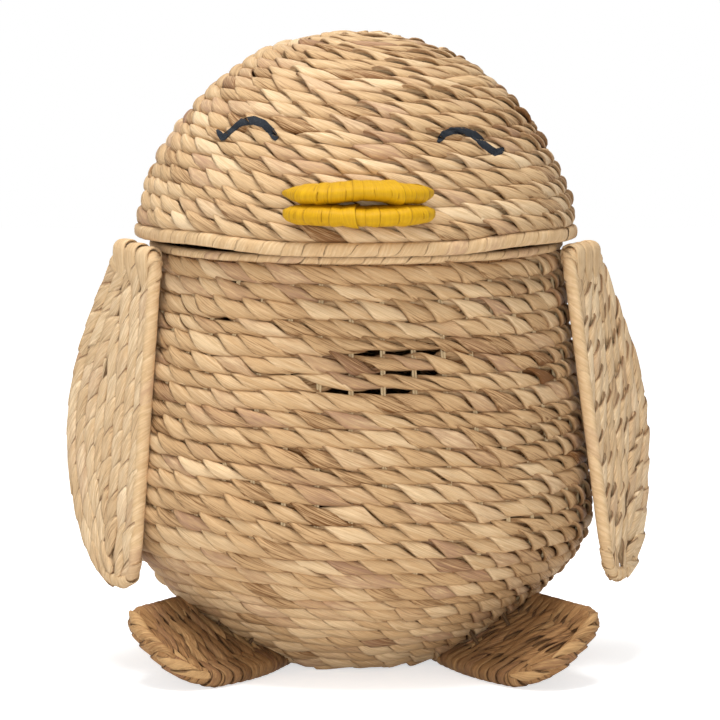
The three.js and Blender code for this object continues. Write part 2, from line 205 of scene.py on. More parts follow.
class Tree:
    """A node tree that is written as plain calls, with named inputs and outputs."""

    def __init__(self, tree: NodeTree) -> None:
        """Wraps an empty tree."""
        self.tree = tree
        self.start: dict[str, Socket] = {}
        self.end: bpy.types.Node | None = None

    @classmethod
    def group(cls, name: str, kind: str, inputs: dict[str, tuple[str, object]],
              outputs: dict[str, str]) -> "Tree":
        """A new node group.

        Args:
            name: what the group is called.
            kind: the type of tree, for geometry or for shaders.
            inputs: each input's name, with its socket type and first value.
            outputs: each output's name, with its socket type.

        Returns:
            The tree, whose start holds the sockets of its inputs by name.
        """
        tree = bpy.data.node_groups.new(name, kind)
        for label, (socket, value) in inputs.items():
            entry = tree.interface.new_socket(label, in_out="INPUT", socket_type=socket)
            if value is not None:
                entry.default_value = value
        for label, socket in outputs.items():
            tree.interface.new_socket(label, in_out="OUTPUT", socket_type=socket)
        made = cls(tree)
        entry = tree.nodes.new("NodeGroupInput")
        made.start = {socket.name: socket for socket in entry.outputs if socket.name}
        made.end = tree.nodes.new("NodeGroupOutput")
        return made

    def add(self, kind: str, inputs: dict | None = None, **settings: object) -> bpy.types.Node:
        """A node with its settings, and its inputs given as values or as sockets to link."""
        node = self.tree.nodes.new(kind)
        for name, value in settings.items():
            setattr(node, name, value)
        for name, value in (inputs or {}).items():
            self.join(value, node.inputs[name])
        return node

    def join(self, value: object, socket: Socket) -> None:
        """Links a socket to another, or sets its value."""
        if isinstance(value, Socket):
            self.tree.links.new(value, socket)
        else:
            socket.default_value = value

    def changed(self, geometry: Socket, kind: str, inputs: dict | None = None,
                **settings: object) -> Socket:
        """A geometry after one more node."""
        node = self.add(kind, {"Geometry": geometry, **(inputs or {})}, **settings)
        return node.outputs["Geometry"]

    def sum(self, operation: str, *values: object, clamp: bool = False) -> Socket:
        """The result of one step of arithmetic on numbers."""
        node = self.add("ShaderNodeMath", dict(enumerate(values)), operation=operation,
                        use_clamp=clamp)
        return node.outputs[0]

    def vector(self, operation: str, *values: object, scale: object = None) -> Socket:
        """The result of one step of arithmetic on vectors."""
        node = self.add("ShaderNodeVectorMath", dict(enumerate(values)), operation=operation)
        if scale is not None:
            self.join(scale, node.inputs["Scale"])
        return node.outputs["Vector"]

    def mapped(self, value: object, low: float, high: float, to_low: float = 0.0,
               to_high: float = 1.0) -> Socket:
        """A number stretched from one range to another and held within it."""
        return self.add("ShaderNodeMapRange", {
            "Value": value, "From Min": low, "From Max": high,
            "To Min": to_low, "To Max": to_high,
        }).outputs[0]

    def mixed(self, share: object, first: object, second: object,
              blend: str = "MIX") -> Socket:
        """Two colours mixed by a share."""
        node = self.add("ShaderNodeMix", {0: share, 6: first, 7: second}, data_type="RGBA",
                        blend_type=blend)
        return node.outputs[2]

    def place(self) -> Socket:
        """Where a point of the surface lies on its own piece."""
        return self.add("ShaderNodeTexCoord").outputs["Object"]

    def shown(self, shader: Socket, kind: str = "ShaderNodeOutputMaterial") -> None:
        """Ends the tree with a shader."""
        self.join(shader, self.add(kind).inputs["Surface"])

    def skin(self, inputs: dict[str, object], height: object, relief: float) -> None:
        """Ends a material with a plain surface that has a relief, in millimetres."""
        bumps = self.add("ShaderNodeBump", {"Distance": relief * MM, "Height": height})
        surface = self.add("ShaderNodeBsdfPrincipled",
                           {**inputs, "Normal": bumps.outputs["Normal"]})
        self.shown(surface.outputs["BSDF"])

    def finish(self, outputs: dict[str, object]) -> NodeTree:
        """Joins the group's outputs and gives back the plain tree."""
        for name, value in outputs.items():
            self.join(value, self.end.inputs[name])
        return self.tree


def strips_along_guides() -> NodeTree:
    """The tree that sweeps one strip along each guide.

    A guide is a chain of edges. At each of its points, side and depth hold the strip's half width
    and half thickness as vectors. The strip's section is rounded, with creases along the strip.

    Returns:
        The node tree.
    """
    tree = Tree.group("strips along guides", "GeometryNodeTree", {
        "Guides": ("NodeSocketGeometry", None),
        "Sides": ("NodeSocketInt", 12),
        "Squareness": ("NodeSocketFloat", 0.9),
        "Crease Depth": ("NodeSocketFloat", 0.0),
        "Crease Length": ("NodeSocketFloat", 30.0),
        "Crease Width": ("NodeSocketFloat", 0.6),
        "Seed": ("NodeSocketFloat", 0.0),
        "Finish": ("NodeSocketMaterial", None),
    }, {"Strips": "NodeSocketGeometry"})
    start = tree.start

    def named(name: str, kind: str = "FLOAT_VECTOR") -> Socket:
        """An attribute's values."""
        node = tree.add("GeometryNodeInputNamedAttribute", {"Name": name}, data_type=kind)
        return node.outputs["Attribute"]

    def stored(geometry: Socket, name: str, value: Socket) -> Socket:
        """The geometry with a vector kept at each of its points."""
        return tree.changed(geometry, "GeometryNodeStoreNamedAttribute",
                            {"Name": name, "Value": value}, data_type="FLOAT_VECTOR",
                            domain="POINT")

    curves = tree.add("GeometryNodeMeshToCurve", {"Mesh": start["Guides"]}).outputs["Curve"]
    place = tree.add("GeometryNodeInputPosition").outputs["Position"]
    curves = stored(curves, "middle", place)
    circle = tree.add("GeometryNodeCurvePrimitiveCircle",
                      {"Resolution": start["Sides"], "Radius": 1.0}).outputs["Curve"]
    corner = tree.add("ShaderNodeSeparateXYZ", {"Vector": place})
    bent = {}
    for axis in "XY":
        value = corner.outputs[axis]
        size = tree.sum("POWER", tree.sum("ABSOLUTE", value), start["Squareness"])
        bent[axis] = tree.sum("MULTIPLY", tree.sum("SIGN", value), size)
    ring = tree.add("ShaderNodeCombineXYZ", bent).outputs["Vector"]
    profile = stored(circle, "ring", ring)
    strips = tree.add("GeometryNodeCurveToMesh", {
        "Curve": curves, "Profile Curve": profile, "Fill Caps": True,
    }).outputs["Mesh"]

    across = tree.vector("SCALE", named("ring"),
                         scale=tree.sum("DIVIDE", 1.0, start["Crease Width"]))
    lengthwise = tree.sum("DIVIDE", named("along", "FLOAT"), start["Crease Length"])
    shift = tree.add("ShaderNodeCombineXYZ", {"Z": lengthwise}).outputs["Vector"]
    grain = tree.add("ShaderNodeTexNoise", {
        "Vector": tree.vector("ADD", across, shift), "W": start["Seed"], "Scale": 1.0,
        "Detail": 1.0,
    }, noise_dimensions="4D").outputs[0]
    swell = tree.sum("MULTIPLY_ADD", tree.sum("SUBTRACT", grain, 0.5), start["Crease Depth"], 1.0)
    flat = tree.add("ShaderNodeSeparateXYZ", {"Vector": named("ring")})
    wide, deep = (
        tree.vector("SCALE", named(name), scale=tree.sum("MULTIPLY", flat.outputs[axis], swell))
        for name, axis in (("side", "X"), ("depth", "Y"))
    )
    surface = tree.vector("ADD", named("middle"), tree.vector("ADD", wide, deep))
    strips = tree.changed(strips, "GeometryNodeSetPosition", {"Position": surface})
    strips = tree.changed(strips, "GeometryNodeSetShadeSmooth")
    strips = tree.changed(strips, "GeometryNodeRealizeInstances")
    strips = tree.changed(strips, "GeometryNodeSetMaterial", {"Material": start["Finish"]})
    return tree.finish({"Strips": strips})


def pieces_round_axis() -> NodeTree:
    """The tree that repeats a piece at even turns round the upright axis.

    Returns:
        The node tree.
    """
    tree = Tree.group("pieces round the axis", "GeometryNodeTree", {
        "Piece": ("NodeSocketGeometry", None),
        "Count": ("NodeSocketInt", 12),
        "First Turn": ("NodeSocketFloat", 0.0),
        "Finish": ("NodeSocketMaterial", None),
    }, {"Pieces": "NodeSocketGeometry"})
    start = tree.start
    spots = tree.add("GeometryNodeMeshLine", {"Count": start["Count"], "Offset": (0, 0, 0)})
    index = tree.add("GeometryNodeInputIndex").outputs["Index"]
    step = tree.sum("DIVIDE", TURN, start["Count"])
    turn = tree.sum("MULTIPLY_ADD", index, step, start["First Turn"])
    turned = tree.add("ShaderNodeCombineXYZ", {"Z": turn}).outputs["Vector"]
    copies = tree.add("GeometryNodeInstanceOnPoints", {
        "Points": spots.outputs["Mesh"], "Instance": start["Piece"], "Rotation": turned,
    })
    real = tree.changed(copies.outputs["Instances"], "GeometryNodeRealizeInstances")
    real = tree.changed(real, "GeometryNodeSetMaterial", {"Material": start["Finish"]})
    return tree.finish({"Pieces": real})


def outward(mesh: bpy.types.Mesh) -> None:
    """Turns a closed mesh's faces outwards where they all point in."""
    mesh.calc_loop_triangles()
    corners = np.empty(len(mesh.vertices) * 3)
    mesh.vertices.foreach_get("co", corners)
    faces = np.empty(len(mesh.loop_triangles) * 3, dtype=np.int32)
    mesh.loop_triangles.foreach_get("vertices", faces)
    a, b, c = np.moveaxis(corners.reshape(-1, 3)[faces.reshape(-1, 3)], 1, 0)
    if np.einsum("ij,ij->", a, np.cross(b, c)) < 0:
        mesh.flip_normals()


def baked(piece: Piece, modifier: bpy.types.Modifier) -> Piece:
    """The piece with the mesh that its modifier makes, and without the modifier."""
    view = bpy.context.evaluated_depsgraph_get()
    made = bpy.data.meshes.new_from_object(piece.evaluated_get(view))
    piece.modifiers.remove(modifier)
    spare, piece.data = piece.data, made
    bpy.data.meshes.remove(spare)
    made.name = piece.name
    outward(made)
    return piece


def grown(name: str, seed_mesh: bpy.types.Mesh, tree: NodeTree,
          settings: dict[str, object]) -> Piece:
    """Runs a geometry tree on a mesh and keeps the result as a plain mesh.

    Args:
        name: what the piece is called.
        seed_mesh: the mesh that the tree starts from.
        tree: the geometry tree.
        settings: the values of the tree's named inputs.

    Returns:
        The finished piece, with no modifier left on it.
    """
    piece = linked(name, seed_mesh)
    modifier = piece.modifiers.new("made", "NODES")
    modifier.node_group = tree
    for item in tree.interface.items_tree:
        if item.in_out == "INPUT" and item.name in settings:
            modifier[item.identifier] = settings[item.name]
    baked(piece, modifier)
    held = piece.data.attributes
    for spare in ("middle", "side", "depth"):
        if spare in held:
            held.remove(held[spare])
    return piece


@dataclass
class Guide:
    """The line that one strip follows, with its half width, half thickness and colour.

    Side and depth are vectors. Tone says how light the strand is, painted shade included where a
    strand is darkened for the shade it lies in, and blush how pink. Start is the place on the
    strip where its fibres begin.
    """

    points: Array
    side: Array
    depth: Array
    tone: Array
    blush: Array
    start: float = 0.0

    def facing(self) -> "Guide":
        """The same guide with its side turned so that every strip has the same hand."""
        hand = np.einsum("ij,ij->i", np.cross(self.side, self.depth), tangents(self.points))
        if hand.sum() < 0:
            self.side = -self.side
        return self


@dataclass(frozen=True)
class Section:
    """The rounded section of a strip and the creases that run along it."""

    sides: int = 12
    squareness: float = 0.9
    crease_depth: float = 0.0
    crease_length: float = 30.0
    crease_width: float = 0.6
    seed: float = 0.0


WEAVE_SECTION = Section(squareness=0.66, crease_depth=0.25, crease_length=26.0, crease_width=0.8)
STRIP_SECTION = Section(sides=10, squareness=0.75, crease_depth=0.5, crease_length=14.0,
                        crease_width=1.2)


def swept(name: str, guides: list[Guide], section: Section, finish: Material) -> Piece:
    """One piece with a strip along each guide."""
    mesh = bpy.data.meshes.new(name + "_guides")
    counts = [len(guide.points) for guide in guides]
    points = np.concatenate([guide.points for guide in guides]) * MM
    firsts = np.concatenate([[0], np.cumsum(counts)[:-1]])
    edges = np.concatenate([
        np.stack([np.arange(first, first + count - 1), np.arange(first + 1, first + count)], 1)
        for first, count in zip(firsts, counts)
    ])
    mesh.from_pydata(points.tolist(), edges.tolist(), [])
    held = {
        "side": np.concatenate([guide.facing().side for guide in guides]) * MM,
        "depth": np.concatenate([guide.depth for guide in guides]) * MM,
        "along": np.concatenate([lengths(guide.points) + guide.start for guide in guides]),
        "tone": np.concatenate([guide.tone for guide in guides]),
        "blush": np.concatenate([guide.blush for guide in guides]),
    }
    for label, values in held.items():
        kind, key = ("FLOAT_VECTOR", "vector") if values.ndim == 2 else ("FLOAT", "value")
        attribute = mesh.attributes.new(label, kind, "POINT")
        attribute.data.foreach_set(key, values.astype(np.float32).ravel())
    return grown(name, mesh, TREES["strips"], {
        "Sides": section.sides,
        "Squareness": section.squareness,
        "Crease Depth": section.crease_depth,
        "Crease Length": section.crease_length,
        "Crease Width": section.crease_width,
        "Seed": section.seed,
        "Finish": finish,
    })


# Twined rows


@dataclass
class Row:
    """The middle line of one row of twining.

    Points, out and rise say where the row runs, which way its outer face looks and which way the
    next row lies. Phase grows by half a turn from one stake to the next.
    """

    points: Array
    out: Array
    rise: Array
    phase: Array
    half_pitch: Array
    taper: float = 0.0


@dataclass(frozen=True)
class Twine:
    """Two flat strips twisted round the stakes, each in front of every other stake.

    Depth is how far a strand's middle lies from the wall's middle, and edge how far short of the
    row's border it turns back. The plays say how much lobes differ. The two shade fields say how
    much painted shade darkens a strand: one where it lies at the back of the wall, the other in
    the hollow on one side of each crossing.
    """

    depth: float = 3.9
    edge: float = 1.9
    roundness: float = 0.74
    hurry: float = 0.2
    thickness: float = 4.2
    width_share: float = 1.34
    lap: float = 1.5
    slant: float = 0.12
    size_play: float = 0.1
    place_play: float = 1.2
    stand_share: float = 0.35
    tilt_play: float = 4.0
    # How much painted shade darkens a strand at the back, and in the hollow of each crossing
    painted_shade: float = 2.3
    painted_hollow_shade: float = 0.9
    steps: int = 10

    def turned(self, angle: Array) -> Array:
        """The angle on the flattened section that a strip has reached at each angle of twist."""
        full = np.linspace(0, TURN, 361)
        run = lengths(np.stack([squared(np.cos(full), self.roundness) * 0.7,
                                squared(np.sin(full), self.roundness)], axis=1))
        eased = angle + self.hurry * np.sin(2 * angle)
        return np.interp(eased % TURN / TURN * run[-1], run, full)

    def strand(self, row: Row, which: int, dice: Dice) -> Guide:
        """The guide of one of a row's two strands.

        Args:
            row: the row's middle line.
            which: 0 or 1, the strand.
            dice: where the small differences between lobes come from.

        Returns:
            The strand's guide.
        """
        angle = row.phase + which * math.pi
        turns = angle / TURN + 0.5
        lobe = np.floor(turns).astype(int)
        within = turns - lobe
        lobe = lobe - lobe.min() + 1
        count = int(lobe.max()) + 2
        after = smooth(0.84, 1.0, within) / 2
        before = (1 - smooth(0.0, 0.16, within)) / 2

        def per_lobe(values: Array) -> Array:
            """A value for each lobe, eased into its neighbour's where the strand is innermost."""
            here = values[lobe]
            return here + (values[lobe + 1] - here) * after + (values[lobe - 1] - here) * before

        wide = 1 + self.size_play * per_lobe(dice.standard_normal(count))
        thick = 1 + self.size_play * per_lobe(dice.standard_normal(count))
        slide = self.place_play * per_lobe(dice.standard_normal(count))
        stand = self.stand_share * self.place_play * per_lobe(dice.standard_normal(count))
        tone = per_lobe(dice.standard_normal(count))
        blush = per_lobe(dice.random(count))
        tilt = np.tan(np.radians(self.tilt_play) * per_lobe(dice.standard_normal(count)))

        section = self.turned(angle)
        cosine, sine = np.cos(section), np.sin(section)
        forward = tangents(row.points)
        spacing = np.gradient(lengths(row.points)) / np.gradient(row.phase) * math.pi
        reach = np.maximum(row.half_pitch - self.edge, 1.0)
        outwards = self.depth * squared(cosine, self.roundness) + stand * squared(cosine, 0.5)
        aside = -reach * squared(sine, self.roundness)
        points = (row.points + row.out * outwards[:, None] + row.rise * aside[:, None]
                  + forward * slide[:, None])
        power = 2 - self.roundness
        normal = unit(row.out * (reach * squared(cosine, power))[:, None]
                      - row.rise * (self.depth * squared(sine, power))[:, None])
        half = spacing / 2 * self.width_share * wide
        deep = self.thickness / 2 * thick
        lap = self.lap * thick
        if row.taper:
            along = lengths(row.points)
            ends = smooth(0, row.taper, along) * smooth(0, row.taper, along[-1] - along)
            half = np.minimum(half, np.minimum(along, along[-1] - along) + row.taper / 2)
            deep, lap = (size * (0.3 + 0.7 * ends) for size in (deep, lap))
        front = (1 + np.cos(angle)) / 2
        droop = self.slant * half * (0.1 + 0.9 * front)
        side = (forward * half[:, None] - normal * (lap - half * tilt)[:, None]
                - row.rise * droop[:, None])
        # Painted shade, in the hollow of each crossing and where the strand lies at the back.
        painted_shade = (self.painted_hollow_shade * smooth(0.2, 1.0, np.sin(angle))
                 + self.painted_shade * (1 - smooth(0.0, 0.5, front)))
        return Guide(points, side, normal * deep[:, None], tone - painted_shade, blush,
                     start=float(dice.random() * 900))

    def strands(self, row: Row, dice: Dice) -> list[Guide]:
        """The guides of both strands."""
        return [self.strand(row, which, dice) for which in (0, 1)]


@dataclass
class Meridian:
    """The outline of a turned wall, from its rim on, as distances along it."""

    outline: Array
    distance: Array = field(init=False)
    out: Array = field(init=False)

    def __post_init__(self) -> None:
        """Measures the outline and finds which way its outer face looks."""
        self.distance = lengths(self.outline)
        along = tangents(self.outline)
        self.out = np.stack([-along[:, 1], along[:, 0]], axis=1)

    @property
    def length(self) -> float:
        """How long the outline is."""
        return float(self.distance[-1])

    def radius(self, distance: float) -> float:
        """How far from the axis the outline lies at a distance along it."""
        return np.interp(distance, self.distance, self.outline[:, 0])

    def at(self, distance: Array, azimuth: Array, inset: float) -> Line:
        """Points of the wall under its outer face, with the ways out and along.

        Args:
            distance: how far along the outline each point is.
            azimuth: each point's azimuth.
            inset: how deep under the outer face the points lie.

        Returns:
            The points, the outward directions and the directions back towards the rim.
        """
        radius, height = (np.interp(distance, self.distance, c) for c in self.outline.T)
        across, upward = (np.interp(distance, self.distance, c) for c in self.out.T)
        size = np.hypot(across, upward)
        across, upward = across / size, upward / size
        level = around(azimuth)
        out = level * across[:, None] + UP * upward[:, None]
        rise = level * -upward[:, None] + UP * across[:, None]
        points = level * radius[:, None] + UP * height[:, None] - out * inset
        return points, out, rise


@dataclass(frozen=True)
class Slit:
    """A place where two rows stand apart, so that the stakes show between them."""

    row: int
    azimuth: float
    half_angle: float
    opening: float
    raised: float = 0.0


@dataclass
class TurnedWeave:
    """Rings of twining that follow a turned wall.

    Drift moves all rows up and down together, lift raises the ones near the rim, and row_play and
    wander say how much one row strays from the next.
    """

    meridian: Meridian
    inset: float
    pitch: float
    stake_spacing: float
    most_stakes: int
    twine: Twine
    seed: int
    drift: Callable[[Array, float], Array]
    slits: tuple[Slit, ...] = ()
    margin: float = 0.0
    far_margin: float = 0.0
    row_play: float = 0.9
    wander: float = 0.55
    lift: Callable[[Array], Array] | None = None
    lifted: float = 60

    def __post_init__(self) -> None:
        """Shares the wall out among whole rows."""
        room = self.meridian.length - self.margin - self.far_margin
        self.count = int(round(room / self.pitch))
        self.step = room / self.count

    def edge(self, number: int, azimuth: Array) -> Array:
        """Where the line between two rows runs, as a distance along the wall."""
        dice = np.random.default_rng(self.seed * 7 + number)
        place = self.margin + number * self.step
        ends = smooth(0, 3, min(number, self.count - number))
        shift = dice.normal() * self.row_play * ends
        swells = sum(dice.normal() * self.wander / math.sqrt(wave)
                     * np.sin(wave * azimuth + dice.random() * TURN) for wave in (1, 2, 3, 5, 8))
        raised = sum(slit.raised * round_bump(slit.azimuth, 2.2 * slit.half_angle, azimuth)
                     for slit in self.slits if slit.row == number)
        return place + self.drift(azimuth, place) + shift + swells * ends - raised

    def centre(self, number: int) -> float:
        """Where the middle of a ring runs, as a distance along the wall."""
        return self.margin + (number + 0.5) * self.step

    def stakes(self, number: int) -> int:
        """How many stakes a ring crosses, an even number."""
        radius = float(self.meridian.radius(self.centre(number)))
        wanted = 2 * int(round(TURN * radius / self.stake_spacing / 2))
        return max(min(wanted, self.most_stakes), 4)

    def opening(self, number: int, azimuth: Array) -> Array:
        """How far the rows above and below an edge stand away from it, because of a slit."""
        push = np.zeros_like(azimuth)
        for slit in self.slits:
            if slit.row == number:
                away = np.abs(angle_from(azimuth, slit.azimuth)) / slit.half_angle
                push += slit.opening / 2 * (1 - smooth(0.55, 1.0, away))
        return push

    def ring(self, number: int, which: int, reference: float) -> Row:
        """The middle line of one ring, begun where the given strand is innermost.

        The reference is the azimuth of one of the ring's stakes.
        """
        stakes = self.stakes(number)
        turn = TURN / stakes
        first = reference + turn * (1 + 2 * round((BACK - reference) / (2 * turn)) - which)
        azimuth = np.linspace(first, first + TURN + turn / 4,
                              int(stakes * self.twine.steps * (1 + 0.25 / stakes)) + 1)
        upper = self.edge(number, azimuth) + self.opening(number, azimuth)
        lower = self.edge(number + 1, azimuth) - self.opening(number + 1, azimuth)
        points, out, rise = self.meridian.at((upper + lower) / 2, azimuth, self.inset)
        if self.lift:
            share = max(0.0, 1 - self.centre(number) / self.lifted)
            points = points + UP * (self.lift(azimuth) * share)[:, None]
        phase = (azimuth - reference) * stakes / 2
        return Row(points, out, rise, phase, (lower - upper) / 2)

    def guides(self, first: int, last: int) -> list[Guide]:
        """The strands of the rings from first up to, not including, last."""
        found = []
        for number in range(first, last):
            dice = np.random.default_rng(self.seed + number)
            full = self.stakes(number) == self.most_stakes
            reference = FIRST_STAKE + LOBE_SHIFT if full else dice.random() * TURN
            found += [self.twine.strand(self.ring(number, which, reference), which, dice)
                      for which in (0, 1)]
        return found

    def build(self, name: str, parts: dict[str, int], body: str, node: str,
              finish: Material) -> list[Piece]:
        """Makes the wall in parts, each with a name and the ring that it begins with."""
        log.info("%s: %d rows, %.1f mm each", name, self.count, self.step)
        bounds = [*parts.values(), self.count]
        return [settle(swept(f"{name}_{part}", self.guides(first, last), WEAVE_SECTION, finish),
                       body, "weave", node)
                for part, first, last in zip(parts, bounds, bounds[1:])]


# Wound strips


@dataclass(frozen=True)
class Winding:
    """A flat strip wound round a rod or a pad, each turn lapping over the last."""

    pitch: float
    width_share: float = 1.25
    thickness: float = 1.1
    lap: float = 0.45
    squareness: float = 1.0
    steps: int = 16
    tone: float = 0.0
    tone_play: float = 0.5
    pitch_play: float = 0.12
    taper: float = 0.0
    seed: int = 1
    width_play: float = 0.08
    lean_play: float = 0.05

    @property
    def inset(self) -> float:
        """How deep under the bead's skin the middle of the strip lies."""
        return (self.thickness + self.lap) / 2

    def guide(self, path: Array, left: Array, high: Array, across: float, tall: float) -> Guide:
        """The guide of the strip, which starts on the side away from left.

        Args:
            path: the rod's middle line.
            left: the direction of the section's first axis at each point.
            high: the direction of the section's second axis at each point.
            across: the section's half size along left, to the middle of the strip.
            tall: the section's half size along high, to the middle of the strip.

        Returns:
            The strip's guide.
        """
        dice = np.random.default_rng(self.seed)
        along = lengths(path)
        turns = max(int(round(along[-1] / self.pitch)), 1)
        marks = np.arange(turns + 1.0)
        marks[1:-1] += dice.uniform(-self.pitch_play, self.pitch_play, turns - 1)
        number = np.linspace(0, turns, turns * self.steps + 1)
        place = np.interp(number, np.arange(turns + 1.0), marks * along[-1] / turns)
        middle = read_at(place, along, path)
        aside, upward, forward = (unit(read_at(place, along, ways))
                                  for ways in (left, high, tangents(path)))
        angle = math.pi + number * TURN
        cosine, sine = np.cos(angle), np.sin(angle)
        spot = (middle + aside * (across * squared(cosine, self.squareness))[:, None]
                + upward * (tall * squared(sine, self.squareness))[:, None])
        power = 2 - self.squareness
        out = unit(aside * (tall * squared(cosine, power))[:, None]
                   + upward * (across * squared(sine, power))[:, None])
        half = self.pitch * self.width_share / 2
        lobe = np.clip(number.astype(int), 0, turns - 1)
        ease = (number - lobe)[:, None]
        width = 1 + self.width_play * dice.standard_normal(turns + 1)
        wander = self.lean_play * dice.standard_normal((turns + 1, 1))
        lean = wander[lobe] * (1 - ease) + wander[lobe + 1] * ease
        side = (forward - out * (self.lap / half)) * (half * width[lobe])[:, None]
        side = side + np.cross(out, forward) * lean * half
        if self.taper:
            ends = smooth(0, self.taper, number) * smooth(0, self.taper, turns - number)
            side = side * (0.25 + 0.75 * ends)[:, None]
            spot = spot - out * (0.6 * self.thickness * (1 - ends))[:, None]
        tone = self.tone + self.tone_play * dice.standard_normal(turns + 1)
        tones = tone[lobe] * (1 - ease[:, 0]) + tone[lobe + 1] * ease[:, 0]
        blush = dice.random(turns + 1)
        return Guide(spot, side, out * (self.thickness / 2), tones, blush[lobe],
                     start=float(dice.random() * 500))


@dataclass(frozen=True)
class Bead:
    """A level ring with a rounded section, in millimetres."""

    radius: float
    height: float
    half_width: float
    half_height: float
    lift: Callable[[Array], Array] | None = None

    def line(self) -> Line:
        """The bead's middle line and the ways outward and up along it."""
        azimuth = np.linspace(BACK, BACK + TURN, 361)
        raised = self.lift(azimuth) if self.lift else np.zeros(len(azimuth))
        path = around(azimuth) * self.radius + UP * (self.height + raised)[:, None]
        return path, around(azimuth), np.tile(UP, (len(azimuth), 1))

    def bind(self, name: str, winding: Winding, finish: Material, body: str,
             *nodes: str) -> None:
        """Makes the strip wound round the bead, with a core under it."""
        line, inset = self.line(), winding.inset
        wide, high = self.half_width - inset, self.half_height - inset
        guides = [winding.guide(*line, wide, high),
                  core_guide(*line, wide - inset, high - inset)]
        settle(swept(name, guides, STRIP_SECTION, finish), body, "binding_strip", *nodes)


def core_guide(path: Array, left: Array, high: Array, across: float, tall: float) -> Guide:
    """A plain core under a winding."""
    same = np.ones(len(path))
    return Guide(path, left * across, high * tall, -same, same * 0)


def hidden_wire(node: str, body: str, path: Array, left: Array, high: Array,
                finish: Material) -> None:
    """The wire in a bound edge, bent with the edge."""
    wire = swept(node + "_core", [core_guide(path, left, high, WIRE_RADIUS, WIRE_RADIUS)],
                 Section(sides=10, squareness=1.0), finish)
    settle(wire, body, "frame_wire", node)


# A darker winding, as painted shade, for beads that lie in the shade under the lid's rim.
PAINTED_SHADE_WINDING = Winding(pitch=13, width_share=1.2, thickness=0.9, lap=0.3, tone=-1.0)


# Finishes


class Wear(Enum):
    """How much a finish varies from strand to strand."""

    EVEN = 0.35
    CALM = 0.6
    NATURAL = 1.0


@dataclass(frozen=True)
class Finish:
    """The look of one material."""

    name: str

    def material(self) -> Material:
        """The finish as a material."""
        made = bpy.data.materials.new(self.name)
        made.use_nodes = True
        made.node_tree.nodes.clear()
        self.fill(Tree(made.node_tree))
        return made

    def fill(self, tree: Tree) -> None:
        """Adds the nodes of the look to an empty tree."""
        raise NotImplementedError


@dataclass(frozen=True)
class StripFinish(Finish):
    """Dried plant strip: long fibres, creases and a colour that changes from lobe to lobe."""

    dark: Colour
    middle: Colour
    light: Colour
    blush: Colour
    roughness: float = 0.66
    relief: float = 0.35
    lean: float = 0.0
    # How far the colour darkens towards the strip's edges: painted shade where strips meet.
    painted_edge_shade: float = 0.5
    grain: float = 1.0
    wear: Wear = Wear.NATURAL

    def fill(self, tree: Tree) -> None:
        """Adds the fibre group and a surface that shows it."""
        fibre = tree.add("ShaderNodeGroup", node_tree=TREES["fibre"])
        for name, value in {
            "Dark": (*self.dark, 1), "Middle": (*self.middle, 1), "Light": (*self.light, 1),
            "Blush": (*self.blush, 1), "Variation": self.wear.value,
            "Roughness": self.roughness, "Lean": self.lean, "Seam": self.painted_edge_shade,
            "Grain": self.grain,
        }.items():
            tree.join(value, fibre.inputs[name])
        tree.skin({"Base Color": fibre.outputs["Color"], "Specular IOR Level": 0.2,
                   "Roughness": fibre.outputs["Roughness"]}, fibre.outputs["Height"], self.relief)


